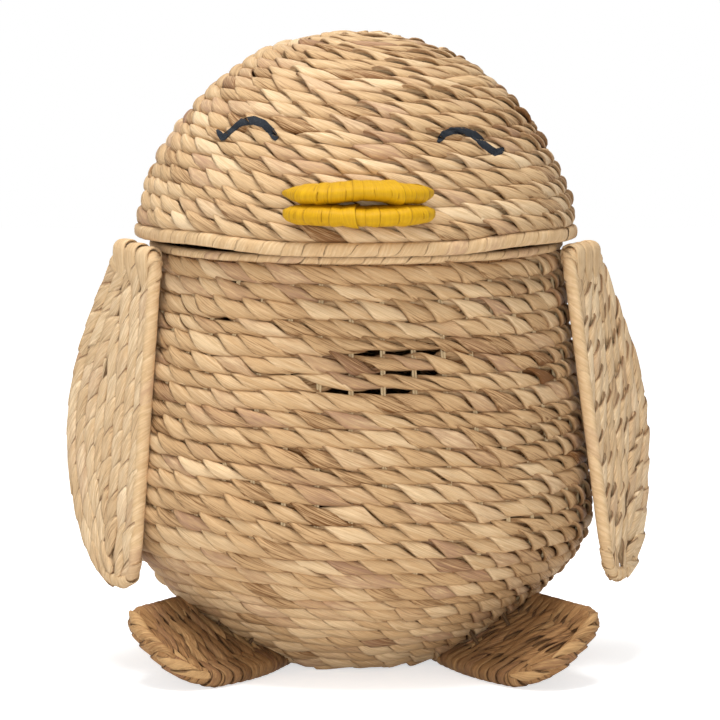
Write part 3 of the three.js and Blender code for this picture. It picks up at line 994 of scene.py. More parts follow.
def plant_fibre() -> NodeTree:
    """The shader group of plant strip, read from the attributes that the sweep leaves.

    Returns:
        The node tree, which puts out a colour, a roughness and a height.
    """
    tree = Tree.group("plant fibre", "ShaderNodeTree", {
        "Dark": ("NodeSocketColor", None),
        "Middle": ("NodeSocketColor", None),
        "Light": ("NodeSocketColor", None),
        "Blush": ("NodeSocketColor", None),
        "Variation": ("NodeSocketFloat", 1.0),
        "Roughness": ("NodeSocketFloat", 0.6),
        "Lean": ("NodeSocketFloat", 0.0),
        "Seam": ("NodeSocketFloat", 0.5),
        "Grain": ("NodeSocketFloat", 1.0),
    }, {"Color": "NodeSocketColor", "Roughness": "NodeSocketFloat", "Height": "NodeSocketFloat"})
    start = tree.start

    def attribute(name: str, output: str) -> Socket:
        """What the sweep has left at each point under a name."""
        return tree.add("ShaderNodeAttribute", attribute_name=name).outputs[output]

    ring, along = attribute("ring", "Vector"), attribute("along", "Fac")
    leant = tree.sum("MULTIPLY", along, start["Lean"])
    shift = tree.add("ShaderNodeCombineXYZ", {"X": leant, "Z": along}).outputs["Vector"]
    strand = tree.vector("ADD", tree.vector("MULTIPLY", ring, (8.0, 4.5, 0.0)), shift)
    across = tree.add("ShaderNodeSeparateXYZ", {"Vector": ring}).outputs["X"]

    def noise(stretch: tuple[float, float, float], detail: float,
              rough: float = 0.5) -> Socket:
        """Noise on the strand's own measures, drawn out along it."""
        return tree.add("ShaderNodeTexNoise", {
            "Vector": tree.vector("MULTIPLY", strand, stretch), "Scale": 1.0,
            "Detail": detail, "Roughness": rough,
        }).outputs[0]

    fibres = noise((2.3, 2.3, 0.06), 3.0, 0.65)
    streaks = noise((0.75, 0.75, 0.035), 2.0)
    creases = noise((0.5, 0.5, 0.05), 1.0)
    stains = noise((0.25, 0.25, 0.12), 3.0, 0.6)
    specks = noise((1.1, 1.1, 0.6), 2.0)

    # Tone holds each lobe's own lightness, less the painted shade that some strands carry.
    tone = tree.sum("MULTIPLY", attribute("tone", "Fac"),
                    tree.sum("MULTIPLY", start["Variation"], 0.16))
    level = tree.sum("ADD", tone, tree.mapped(streaks, 0.3, 0.7, 0.38, 0.78))
    level = tree.sum("ADD", level, tree.mapped(stains, 0.3, 0.75, 0.1, -0.16))
    light = tree.mixed(tree.mapped(level, 0.5, 0.95), start["Middle"], start["Light"])
    base = tree.mixed(tree.mapped(level, 0.42, 0.08), light, start["Dark"])
    tinted = tree.sum("MULTIPLY", tree.mapped(attribute("blush", "Fac"), 0.76, 1.0),
                      tree.mapped(stains, 0.35, 0.62, 0.15, 0.95))
    tinted = tree.sum("MULTIPLY", tinted, start["Variation"])
    base = tree.mixed(tinted, base, start["Blush"])
    spots = tree.sum("MULTIPLY", tree.mapped(specks, 0.68, 0.76), tree.mapped(stains, 0.5, 0.62))
    base = tree.mixed(tree.sum("MULTIPLY", spots, 0.55), base, start["Dark"])
    # Painted shade: towards its edges the strip goes dark, where it meets its neighbours.
    edge = tree.sum("MULTIPLY", tree.mapped(tree.sum("ABSOLUTE", across), 0.84, 1.0),
                    start["Seam"])
    base = tree.mixed(edge, base, start["Dark"])
    thin = tree.sum("MULTIPLY_ADD", tree.mapped(fibres, 0.3, 0.7, -0.13, 0.09),
                    start["Grain"], 1.0)
    grey = tree.add("ShaderNodeCombineColor", {"Red": thin, "Green": thin, "Blue": thin})
    color = tree.mixed(1.0, base, grey.outputs[0], "MULTIPLY")

    ridge = tree.sum("ABSOLUTE", tree.sum("SUBTRACT", creases, 0.5))
    fold = tree.mapped(ridge, 0.0, 0.06)
    height = tree.sum("MULTIPLY_ADD", fibres, 0.45, tree.sum("MULTIPLY", fold, 0.55))
    height = tree.sum("MULTIPLY_ADD", streaks, 0.9, height)
    rough = tree.sum("ADD", start["Roughness"], tree.mapped(fibres, 0.3, 0.7, -0.08, 0.08))
    return tree.finish({"Color": color, "Roughness": rough, "Height": height})


@dataclass(frozen=True)
class WireFinish(Finish):
    """Dark iron wire with a little rust where the varnish is thin."""

    name: str = "frame wire"
    iron: Colour = (0.045, 0.04, 0.037)
    rust: Colour = (0.12, 0.055, 0.03)
    blotch: float = 90.0

    def fill(self, tree: Tree) -> None:
        """Adds patches of rust and the metal under them."""
        patch = tree.add("ShaderNodeTexNoise", {
            "Vector": tree.place(), "Scale": self.blotch, "Detail": 4.0,
        }).outputs[0]
        share = tree.mapped(patch, 0.52, 0.68)
        tree.skin({"Base Color": tree.mixed(share, (*self.iron, 1), (*self.rust, 1)),
                   "Roughness": tree.sum("MULTIPLY_ADD", share, 0.35, 0.42),
                   "Metallic": 0.85}, patch, 0.1)


@dataclass(frozen=True)
class TieFinish(Finish):
    """Twisted plant cord on the small solid ties."""

    name: str = "tie cord"
    dark: Colour = (0.22, 0.12, 0.05)
    light: Colour = (0.62, 0.44, 0.25)
    twist: float = 420.0
    fibre: float = 900.0

    def fill(self, tree: Tree) -> None:
        """Adds the twist of the cord and its fibres."""
        place = tree.place()
        twist = tree.add("ShaderNodeTexWave", {
            "Vector": place, "Scale": self.twist, "Distortion": 2.5, "Detail": 2.0,
        }, bands_direction="DIAGONAL")
        fibre = tree.add("ShaderNodeTexNoise", {
            "Vector": place, "Scale": self.fibre, "Detail": 3.0,
        }).outputs[0]
        share = tree.sum("MULTIPLY_ADD", fibre, 0.5,
                         tree.sum("MULTIPLY", twist.outputs["Fac"], 0.6))
        tree.skin({"Base Color": tree.mixed(share, (*self.dark, 1), (*self.light, 1)),
                   "Roughness": tree.sum("MULTIPLY_ADD", fibre, 0.15, 0.65),
                   "Specular IOR Level": 0.2}, share, 0.4)


@dataclass(frozen=True)
class PaintFinish(Finish):
    """Charcoal paint brushed on the strands."""

    name: str = "charcoal paint"
    dark: Colour = (0.013, 0.016, 0.021)
    worn: Colour = (0.036, 0.04, 0.048)
    strokes: tuple[float, float, float] = (900.0, 300.0, 1400.0)

    def fill(self, tree: Tree) -> None:
        """Adds the strokes of the brush, worn where it ran dry."""
        brush = tree.add("ShaderNodeTexNoise", {
            "Vector": tree.vector("MULTIPLY", tree.place(), self.strokes), "Scale": 1.0,
            "Detail": 3.0,
        }).outputs[0]
        share = tree.mapped(brush, 0.45, 0.8)
        tree.skin({"Base Color": tree.mixed(share, (*self.dark, 1), (*self.worn, 1)),
                   "Roughness": tree.sum("MULTIPLY_ADD", brush, 0.2, 0.6),
                   "Specular IOR Level": 0.15}, brush, 0.12)


@dataclass(frozen=True)
class FloorFinish(Finish):
    """Matt white that glows to the camera, so that the floor looks white and keeps its shadow."""

    name: str = "floor white"
    white: Colour = (0.82, 0.82, 0.82)
    glow: float = 0.62

    def fill(self, tree: Tree) -> None:
        """Adds the matt white and the glow that only the picture shows."""
        matt = tree.add("ShaderNodeBsdfDiffuse", {"Color": (*self.white, 1)}).outputs[0]
        glow = tree.add("ShaderNodeEmission", {"Color": (1, 1, 1, 1), "Strength": self.glow})
        both = tree.add("ShaderNodeAddShader", {0: matt, 1: glow.outputs[0]}).outputs[0]
        choice = tree.add("ShaderNodeMixShader", {0: seen_share(tree), 1: matt, 2: both})
        tree.shown(choice.outputs[0])


def seen_share(tree: Tree, *more: str) -> Socket:
    """One for the rays that make the picture and its reflections, and for others asked for."""
    rays = tree.add("ShaderNodeLightPath").outputs
    share = rays["Is Camera Ray"]
    for name in ("Is Glossy Ray", *more):
        share = tree.sum("MAXIMUM", share, rays[name])
    return share


FINISHES = {
    "straw": StripFinish("twined straw", (0.17, 0.07, 0.02), (0.55, 0.345, 0.17),
                         (0.75, 0.54, 0.315), (0.41, 0.235, 0.14), lean=-0.56, painted_edge_shade=0.75),
    # Lid and wing straw are paler copies, partly painted light for the stronger light on them.
    "lid": StripFinish("lid straw", (0.2, 0.09, 0.03), (0.57, 0.375, 0.195),
                       (0.76, 0.565, 0.345), (0.45, 0.27, 0.165), lean=-0.56, painted_edge_shade=0.75),
    "wing": StripFinish("wing straw", (0.22, 0.1, 0.038), (0.67, 0.46, 0.255),
                        (0.92, 0.72, 0.47), (0.54, 0.33, 0.205), relief=0.6, lean=-0.4,
                        painted_edge_shade=0.9, wear=Wear.CALM, grain=1.3),
    "pale": StripFinish("binding strip", (0.3, 0.16, 0.065), (0.6, 0.395, 0.205),
                        (0.75, 0.545, 0.32), (0.5, 0.31, 0.19), painted_edge_shade=0.1, grain=0.7),
    # Darker straw as painted shade, for the feet in the body's shadow and the beads under the lid.
    "painted_shade_brown": StripFinish("foot strip", (0.045, 0.016, 0.005), (0.31, 0.157, 0.06),
                         (0.52, 0.31, 0.135), (0.23, 0.11, 0.058), relief=0.5, lean=-0.3,
                         painted_edge_shade=0.9, grain=2.0),
    "yellow": StripFinish("yellow strip", (0.2, 0.085, 0.001), (0.53, 0.285, 0.0015),
                          (0.64, 0.37, 0.003), (0.5, 0.25, 0.002), roughness=0.6, relief=0.15,
                          grain=0.4, wear=Wear.EVEN),
    "cord": StripFinish("stake cord", (0.36, 0.23, 0.11), (0.62, 0.46, 0.26),
                        (0.74, 0.59, 0.37), (0.56, 0.42, 0.26), relief=0.2),
    "wire": WireFinish(),
    "tie": TieFinish(),
    "paint": PaintFinish(),
    # A darker cord as painted shade, for the ties on the feet in the body's shadow.
    "painted shade tie": TieFinish("shaded tie cord", (0.05, 0.025, 0.01), (0.15, 0.085, 0.04)),
}


def settle(piece: Piece, body: str, slot: str, *nodes: str) -> Piece:
    """Lets a finished piece ride on a body and stand for solids."""
    points = np.empty(len(piece.data.vertices) * 3, np.float32)
    piece.data.vertices.foreach_get("co", points)
    if points[2::3].min() < GROUND * MM:
        points[2::3] = np.maximum(points[2::3], GROUND * MM)
        piece.data.vertices.foreach_set("co", points)
        piece.data.update()
    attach(piece, body)
    if nodes:
        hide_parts(*nodes)
    log.info("%s rides on %s: %d faces", piece.name, body, len(piece.data.polygons))
    return piece


# Body


@dataclass
class Body:
    """The egg-shaped basket: rings of twining, stakes, bound rim and the frame in it."""

    finishes: Finishes
    bowl_shares: Shares = ((0, 0), (0.52, 0.29), (1, 0.72), (1, 1))
    waist_shares: Shares = ((0, 0), (0, 0.25), (0.75, 0.72), (1, 1))
    base_radius: float = 76
    belly_height: float = 128
    inset: float = 6.2
    floor_rise: float = 1.6
    pitch: float = 14.9
    stake_spacing: float = 25
    stake_count: int = 44
    cord_radius: float = 1.05
    cord_spread: float = 1.1
    cord_proud: float = 1.0
    cord_end: float = 74
    cord_step: float = 7.0
    curve_steps: int = 60

    def __post_init__(self) -> None:
        """Reads the wall's sizes from the frame."""
        _, high = box_of("body_weave")
        self.rim_low, self.rim_high = box_of("body_rim_binding")
        belly = (high[0], self.belly_height)
        bowl = between((self.base_radius, 0), belly, self.bowl_shares, self.curve_steps)
        waist = between(belly, (self.rim_high[0] - GAP, high[2]), self.waist_shares,
                        self.curve_steps)
        wall = np.concatenate([bowl, waist[1:]])[::-1]
        floor = np.array([[self.base_radius * s, 0.0] for s in np.linspace(0.96, 0, 20)])
        self.wall = respaced(wall, 3.0)
        middle = respaced(np.concatenate([wall, floor]), 3.0)
        middle[:, 1] += self.floor_rise * (1 - smooth(0, 40, middle[:, 1]))
        self.meridian = Meridian(middle)

    def radius_at(self, height: Array) -> Array:
        """The wall's outer radius at a height."""
        return np.interp(height, self.wall[::-1, 1], self.wall[::-1, 0])

    def drift(self, azimuth: Array, distance: float) -> Array:
        """How far the rows wander up and down, together."""
        ease = smooth(10, 70, np.array(distance)) * smooth(0, 60, np.array(480 - distance))
        return ease * (1.3 * np.sin(2 * azimuth + 0.8 + distance / 90)
                       + 0.8 * np.sin(5 * azimuth + 1.7 - distance / 60)
                       + 0.5 * np.sin(9 * azimuth + distance / 45))

    def weave(self) -> TurnedWeave:
        """The rings of the wall and the floor."""
        slits = (
            Slit(row=5, azimuth=FRONT + 0.22, half_angle=0.27, opening=6.2, raised=4.5),
            Slit(row=6, azimuth=FRONT + 0.26, half_angle=0.19, opening=5.2, raised=2.2),
            Slit(row=7, azimuth=FRONT + 0.04, half_angle=0.27, opening=4.6, raised=0.6),
            Slit(row=3, azimuth=FRONT - 0.62, half_angle=0.1, opening=2.6),
            Slit(row=14, azimuth=FRONT + 0.75, half_angle=0.1, opening=2.6),
        )
        return TurnedWeave(self.meridian, self.inset, self.pitch, self.stake_spacing,
                           self.stake_count, Twine(), 100, self.drift, slits, margin=0.5,
                           far_margin=3.0)

    def stakes(self) -> Piece:
        """The paired cords that the rows are twined round."""
        distance = np.arange(2.0, self.meridian.length - self.cord_end, self.cord_step)
        same = np.zeros(len(distance))
        points, out, rise = self.meridian.at(distance, same, self.inset - self.cord_proud)
        level = np.cross(out, rise)
        guides = [Guide(points + level * (side * self.cord_spread), level * self.cord_radius,
                        out * self.cord_radius, same, same, start=300.0 * side)
                  for side in (-1, 1)]
        cord = self.finishes["cord"]
        pair = swept("body_stakes", guides, Section(sides=8, squareness=1.0), cord)
        seed = pair.data
        bpy.data.objects.remove(pair)
        return grown("body_stakes", seed, TREES["round"], {
            "Count": self.stake_count, "First Turn": FIRST_STAKE, "Finish": cord,
        })

    def rim(self) -> None:
        """Makes the strip wound round the rim, and its wire."""
        bead = Bead(self.rim_high[0] - 6, self.rim_low[2] + 3.9, 6, 3.9)
        strip = Winding(pitch=17.5, width_share=1.3, thickness=1.0, lap=0.22, squareness=0.8,
                        seed=11, tone_play=0.4, pitch_play=0.3)
        hidden_wire("body_rim_wire", "basket", *bead.line(), self.finishes["wire"])
        bead.bind("body_rim_strip", strip, self.finishes["pale"], "basket", "body_rim_binding")

    def seat(self) -> None:
        """Makes the inner rim strip that the lid rests on, darkened as painted shade."""
        bead = Bead(self.rim_high[0] - 9.0, self.rim_low[2] + 0.9, 3.0, 6.5)
        bead.bind("body_rim_seat", replace(PAINTED_SHADE_WINDING, seed=12), self.finishes["painted_shade_brown"],
                  "basket")

    def build(self) -> None:
        """Makes the body's pieces."""
        self.weave().build("body_weave", {"upper": 0, "waist": 8, "belly": 16, "bowl": 24},
                           "basket", "body_weave", self.finishes["straw"])
        settle(self.stakes(), "basket", "tie_cord")
        self.rim()
        self.seat()


# Lid


@dataclass
class Lid:
    """The dome: rings of twining over a bound rim."""

    finishes: Finishes
    dome_shares: Shares = ((1, 0), (1, 0.16), (0.76, 1), (0, 1))
    inset: float = 6.5
    pitch: float = 14.4
    stake_spacing: float = 27
    stake_count: int = 44
    curve_steps: int = 80

    def __post_init__(self) -> None:
        """Reads the dome's sizes from the frame."""
        _, high = box_of("lid_weave")
        self.rim_low, self.rim_high = box_of("lid_rim_binding")
        self.radius = high[0]
        self.bottom = self.rim_high[2] + GAP
        dome = between((0, self.bottom), (self.radius, high[2]), self.dome_shares,
                       self.curve_steps)
        self.meridian = Meridian(respaced(dome, 3.0))
        self.meridian.out = -self.meridian.out

    def rim_lift(self, azimuth: Array) -> Array:
        """How far the warped rim stands off the body's rim."""
        hills = ((5.0, FRONT - 0.83, 0.56), (3.0, FRONT - 1.36, 0.5), (3.6, FRONT + 0.86, 0.46),
                 (2.0, FRONT + 1.3, 0.45), (2.5, BACK + 0.3, 0.7))
        return sum(height * round_bump(centre, half, azimuth) for height, centre, half in hills)

    def drift(self, azimuth: Array, distance: float) -> Array:
        """How far the rows wander up and down, together."""
        ease = smooth(5, 60, np.array(distance)) * smooth(0, 90, np.array(275 - distance))
        return ease * (1.6 * np.sin(2 * azimuth + 2.1 + distance / 80)
                       + 1.0 * np.sin(4 * azimuth + 0.4 - distance / 70))

    def weave(self) -> TurnedWeave:
        """The rings of the dome."""
        return TurnedWeave(self.meridian, self.inset, self.pitch, self.stake_spacing,
                           self.stake_count, Twine(), 300, self.drift, margin=0.5,
                           far_margin=1.0, lift=self.rim_lift)

    def rim(self) -> None:
        """Makes the strip wound round the rim, and its wire."""
        height = (self.rim_low[2] + self.rim_high[2]) / 2
        bead = Bead(self.rim_high[0] - 5.5, height, 5.5, 6, self.rim_lift)
        strip = Winding(pitch=19.0, width_share=1.3, thickness=1.0, lap=0.2, squareness=0.75,
                        seed=21, tone=0.3, tone_play=0.35, pitch_play=0.3)
        bead.bind("lid_rim_strip", strip, self.finishes["pale"], "lid", "lid_rim_binding")
        hidden_wire("lid_rim_wire", "lid", *bead.line(), self.finishes["wire"])

    def build(self) -> list[Piece]:
        """Makes the lid's pieces and gives back the ones that the eyes are painted on."""
        dome = self.weave().build("lid_weave", {"lower": 0, "crown": 7}, "lid", "lid_weave",
                                  self.finishes["lid"])
        self.rim()
        # The lip under the lid's rim is darkened as painted shade.
        lip = Bead(self.radius - 12.6, self.bottom - 1.0, 3.0, 3.4)
        lip.bind("lid_lip_strip", replace(PAINTED_SHADE_WINDING, seed=22), self.finishes["painted_shade_brown"],
                 "lid")
        return dome


# Flat panels


@dataclass(frozen=True)
class Stretch:
    """A part of an edge and the way that strip is wound on it, in millimetres along the edge.

    Slim is how much thinner than the rest the bead is there, on each face.
    """

    start: float
    end: float
    winding: Winding
    slim: float = 0.0


@dataclass
class Panel:
    """The place of a flat woven panel: a corner, two directions on it and the way it faces."""

    origin: Array
    x: Array
    y: Array
    out: Array

    def place(self, flat: Array) -> Array:
        """Points of the panel from their two coordinates on it."""
        return self.origin + flat[:, :1] * self.x + flat[:, 1:2] * self.y

    def row(self, flat: Array, half_pitch: Array, spacing: float, shift: float,
            taper: float) -> Row:
        """A row of twining along a line on the panel.

        Args:
            flat: the line's points, in the panel's coordinates.
            half_pitch: half the room between this row and its neighbours, at each point.
            spacing: the way between two stakes.
            shift: where along the line a stake lies.
            taper: the length over which both ends narrow.

        Returns:
            The row.
        """
        along = lengths(flat)
        count = max(int(along[-1] / spacing * Twine.steps), 6)
        place = np.linspace(0, along[-1], count + 1)
        points = self.place(read_at(place, along, flat))
        out = np.tile(self.out, (len(points), 1))
        rise = np.cross(out, tangents(points))
        return Row(points, out, rise, (place - shift) * math.pi / spacing,
                   np.interp(place, along, half_pitch), taper)

    def edge(self, outline: Array) -> tuple[Array, ...]:
        """A closed outline on the panel, evenly spaced, with the level ways out of it.

        Args:
            outline: the outline's points, in the panel's coordinates.

        Returns:
            The points, the directions away from the panel's middle and the panel's own facing.
        """
        spots = respaced(closed(outline), 2.0)[:-1]
        after = np.roll(spots, -1, axis=0)
        along = unit(after - np.roll(spots, 1, axis=0))
        area = np.sum(spots[:, 0] * after[:, 1] - after[:, 0] * spots[:, 1])
        hand = 1 if area > 0 else -1
        away = closed(np.stack([along[:, 1], -along[:, 0]], axis=1) * hand)
        aside = away[:, :1] * self.x + away[:, 1:2] * self.y
        return self.place(closed(spots)), aside, np.tile(self.out, (len(away), 1))

    def bound(self, outline: Array, half: float, stretches: Iterable[Stretch]) -> list[Guide]:
        """Strips wound round the panel's edge, over a core.

        Args:
            outline: the outline's points, in the panel's coordinates.
            half: half the thickness of the bound edge.
            stretches: which winding lies where.

        Returns:
            The guides of the strips and of the core.
        """
        path, aside, facing = self.edge(outline)
        twice = [np.concatenate([part, part[1:]]) for part in (path, aside, facing)]
        along = lengths(twice[0])
        found = []
        for stretch in stretches:
            inside = (along >= stretch.start) & (along <= stretch.end)
            reach = half - stretch.winding.inset
            found.append(stretch.winding.guide(*(part[inside] for part in twice), reach,
                                               reach - stretch.slim))
        found.append(core_guide(path, aside, facing, half - 1.9, half - 2.6))
        return found


@dataclass(frozen=True)
class Turnover:
    """A strand that comes over the edge of a panel and tucks into both faces."""

    radius: float
    thickness: float
    face: float
    reach: float

    def guide(self, panel: Panel, at: Array, inward: Array, half_width: float,
              tone: float, blush: float) -> Guide:
        """The guide of the strand.

        Args:
            panel: the panel whose edge it goes over.
            at: the middle of the edge there, in the panel's coordinates.
            inward: the direction into the panel, in the same coordinates.
            half_width: half the strand's width.
            tone: how light the strand is.
            blush: how pink it is.

        Returns:
            The guide.
        """
        way = np.linspace(1, 0, 9)
        leg_in = way * self.reach
        leg_up = (self.face + (self.radius - self.face) * smooth(0.85, 0.0, way)
                  - 0.8 * self.thickness * smooth(0.65, 1.0, way))
        turn = np.linspace(0, math.pi, 13)[1:-1]
        inwards = np.concatenate([leg_in, -self.radius * np.sin(turn), leg_in[::-1]])
        heights = np.concatenate([leg_up, self.radius * np.cos(turn), -leg_up[::-1]])
        flat = at + np.outer(inwards, inward)
        points = panel.place(flat) + np.outer(heights, panel.out)
        along = tangents(points)
        edgewise = unit(np.cross(panel.out, inward[0] * panel.x + inward[1] * panel.y))
        depth = np.cross(along, edgewise)
        far = np.minimum(np.arange(len(points)), np.arange(len(points))[::-1]) / len(points)
        half = half_width * (0.3 + 0.7 * smooth(0, 0.2, far))
        same = np.ones(len(points))
        return Guide(points, edgewise * half[:, None], depth * self.thickness / 2,
                     same * tone, same * blush, start=half_width * 70 + at[0])


def kept_outside(guides: list[Guide], inside: Callable[[Array], Array]) -> list[Guide]:
    """The stretches of some guides that lie outside a space."""
    found = []
    for guide in guides:
        keep = ~inside(guide.points)
        starts = np.flatnonzero(keep & ~np.roll(keep, 1)) if not keep.all() else np.array([0])
        for start in starts:
            rest = np.flatnonzero(~keep[start:])
            end = start + rest[0] if len(rest) else len(keep)
            if end - start > 6:
                part = slice(start, end)
                found.append(Guide(guide.points[part], guide.side[part], guide.depth[part],
                                   guide.tone[part], guide.blush[part], guide.start))
    return found


WING_CURVES = (
    ((0.09, 0), (0.04, 0), (0, -0.015), (0, -0.035)),
    ((-0.07, -0.93), (-0.07, -0.965), (0, -0.99), (0.12, -0.99)),
    ((0.12, -0.99), (0.47, -0.985), (0.89, -0.845), (0.985, -0.6)),
    ((0.985, -0.6), (1.055, -0.42), (0.92, -0.235), (0.59, -0.045)),
    ((0.59, -0.045), (0.56, -0.012), (0.53, 0), (0.48, 0)),
)


@dataclass
class Wing:
    """One flat wing: rows of twining along it and a bound edge."""

    finishes: Finishes
    name: str
    heading: float
    seed: int
    front_pitch: float
    tip_pitch: float
    swell: float
    lead: float
    span: float = 107
    drop: float = 275
    bead: float = 11
    stake_spacing: float = 24.0
    front_tuck: float = -0.8
    rear_tuck: float = -2.6
    top_rise: float = 0.0
    squeeze_order: tuple[int, ...] = (4, 3, 5, 2, 6, 1, 7, 0)
    least_share: float = 0.42
    softening: int = 13
    loops: tuple[float, ...] = (10.0, 28.5, 46.0)
    twine: Twine = Twine(depth=3.3, edge=0.9, roundness=0.5, hurry=0.3, thickness=3.0, lap=1.1,
                         slant=0.1, place_play=1.6, tilt_play=3.0)

    def __post_init__(self) -> None:
        """Finds the wing's plane from its hinge and its binding."""
        joint = next(j for j in frame["joints"] if j["name"] == f"wing_{self.name}_swing")
        origin = np.array(joint["pos_m"]) / MM
        x = around(np.radians(self.heading))
        corners = read_corners(f"wing_{self.name}_binding")
        _, _, axes = np.linalg.svd(corners - corners.mean(0), full_matrices=False)
        facing = axes[2] if axes[2][:2] @ origin[:2] > 0 else -axes[2]
        facing = unit(facing - x * (facing @ x))
        up = np.cross(facing, x)
        self.panel = Panel(origin, x, up if up[2] > 0 else -up, facing)

    def outline(self) -> Array:
        """The outline of the wing, from its top front corner down the front."""
        size = np.array([self.span, self.drop])
        drawn = np.concatenate([bezier(curve, 16)[:-1] * size for curve in WING_CURVES])
        level = -drawn[:, 1] / self.drop
        rear = drawn[:, 0] > self.span * 0.3
        hills = bump(0.86, 0.3, level) + 0.35 * bump(0.28, 0.24, level)
        drawn[:, 0] += np.where(rear, self.swell * bump(0.47, 0.38, level), -self.lead * hills)
        return drawn

    def edges(self, levels: Array) -> tuple[Array, Array]:
        """Where the front and the rear edge are at some levels."""
        outline = self.outline()
        low = int(np.argmin(outline[:, 1]))
        front, rear = outline[:low + 1], outline[low:]
        return (np.interp(-levels, -front[:, 1], front[:, 0]),
                np.interp(levels, rear[:, 1], rear[:, 0]))

    def shares(self, room: Array) -> tuple[Array, Array]:
        """How the rows share the wing's width, the inner ones giving way first.

        Args:
            room: the way between the wing's edges at each level.

        Returns:
            Each row's width at each level, and whether the row runs there.
        """
        count = len(self.squeeze_order)
        pitch = room.max() / count
        widths = np.full((count, len(room)), pitch)
        short = widths.sum(0) - room
        for number in self.squeeze_order:
            taken = np.minimum(short, widths[number])
            widths[number] -= taken
            short = short - taken
        alive = widths > self.least_share * pitch
        widths = np.where(alive, widths, 0)
        widths *= room / np.maximum(widths.sum(0), 1e-6)
        reach = self.softening // 2
        padded = np.pad(widths, ((0, 0), (reach, reach)), mode="edge")
        window = np.ones(self.softening) / self.softening
        soft = np.stack([np.convolve(line, window, mode="valid") for line in padded])
        return soft * (room / soft.sum(0)), alive

    def rows(self) -> list[Row]:
        """The rows, which fan out from the top and draw together at the tip."""
        levels = -np.arange(self.bead * 0.3, self.drop - self.bead * 0.4, 2.0)
        front, rear = self.edges(levels)
        front, rear = front + self.front_tuck, rear - self.rear_tuck
        widths, alive = self.shares(rear - front)
        middles = front + np.cumsum(widths, axis=0) - widths / 2
        found = []
        for width, middle, runs in zip(widths, middles, alive):
            held = np.flatnonzero(runs)
            part = slice(held[0], held[-1] + 1)
            flat = np.stack([middle, levels], axis=1)[part]
            found.append(self.panel.row(flat, width[part] / 2, self.stake_spacing,
                                        levels[held[0]], 7.0))
        return found

    def edge_guides(self) -> list[Guide]:
        """The bound edge: a smooth front, a lapped tip, a lumpy rear and a turned-over top."""
        outline = self.outline()
        total = float(lengths(closed(outline))[-1])
        front_end, tip_end, rear_end = 246.0, 300.0, total - 58
        front = Winding(self.front_pitch, 1.2, 0.8, 0.12, 0.85, tone=0.6, tone_play=0.2,
                        seed=self.seed + 1)
        tip = Winding(self.tip_pitch, 1.5, 1.5, 0.7, 0.85, tone=0.4, tone_play=0.4, taper=0.5,
                      seed=self.seed + 2)
        rear = Winding(24, 1.3, 2.6, 0.8, 0.9, tone=0.1, taper=0.6, seed=self.seed + 3)
        found = self.panel.bound(outline, self.bead / 2, (
            Stretch(2, front_end + 4, front),
            Stretch(front_end, tip_end + 10, tip),
            Stretch(tip_end, rear_end + 8, rear, slim=1.6),
        ))
        dice = np.random.default_rng(self.seed + 5)
        over = Turnover(radius=7.4, thickness=2.6, face=4.2, reach=30)
        for number, place in enumerate(self.loops):
            raised = self.top_rise * number / (len(self.loops) - 1)
            found.append(over.guide(self.panel, np.array([place, raised]),
                                    unit(np.array([-0.05, -1.0])), 9.1,
                                    0.5 + 0.3 * dice.standard_normal(), 0.3))
        knob = Turnover(radius=6.2, thickness=2.2, face=3.8, reach=17)
        for place, inward in (((3.2, -3.2), (0.75, -0.75)), ((56.0, -7.0), (-0.7, -0.75))):
            found.append(knob.guide(self.panel, np.array(place), unit(np.array(inward)), 6.0, 0.4,
                                    0.2))
        return found

    def build(self) -> None:
        """Makes the wing's pieces."""
        body = f"wing_{self.name}"
        dice = np.random.default_rng(self.seed)
        strands = [guide for row in self.rows() for guide in self.twine.strands(row, dice)]
        section = Section(squareness=0.7, crease_depth=0.4, crease_length=24, crease_width=0.5,
                          seed=self.seed)
        settle(swept(body + "_strands", strands, section, self.finishes["wing"]), body, "weave",
               body + "_weave")
        settle(swept(body + "_edge", self.edge_guides(), STRIP_SECTION, self.finishes["pale"]),
               body, "binding_strip", body + "_binding")
        hidden_wire(body + "_wire", body, *self.panel.edge(self.outline()),
                    self.finishes["wire"])


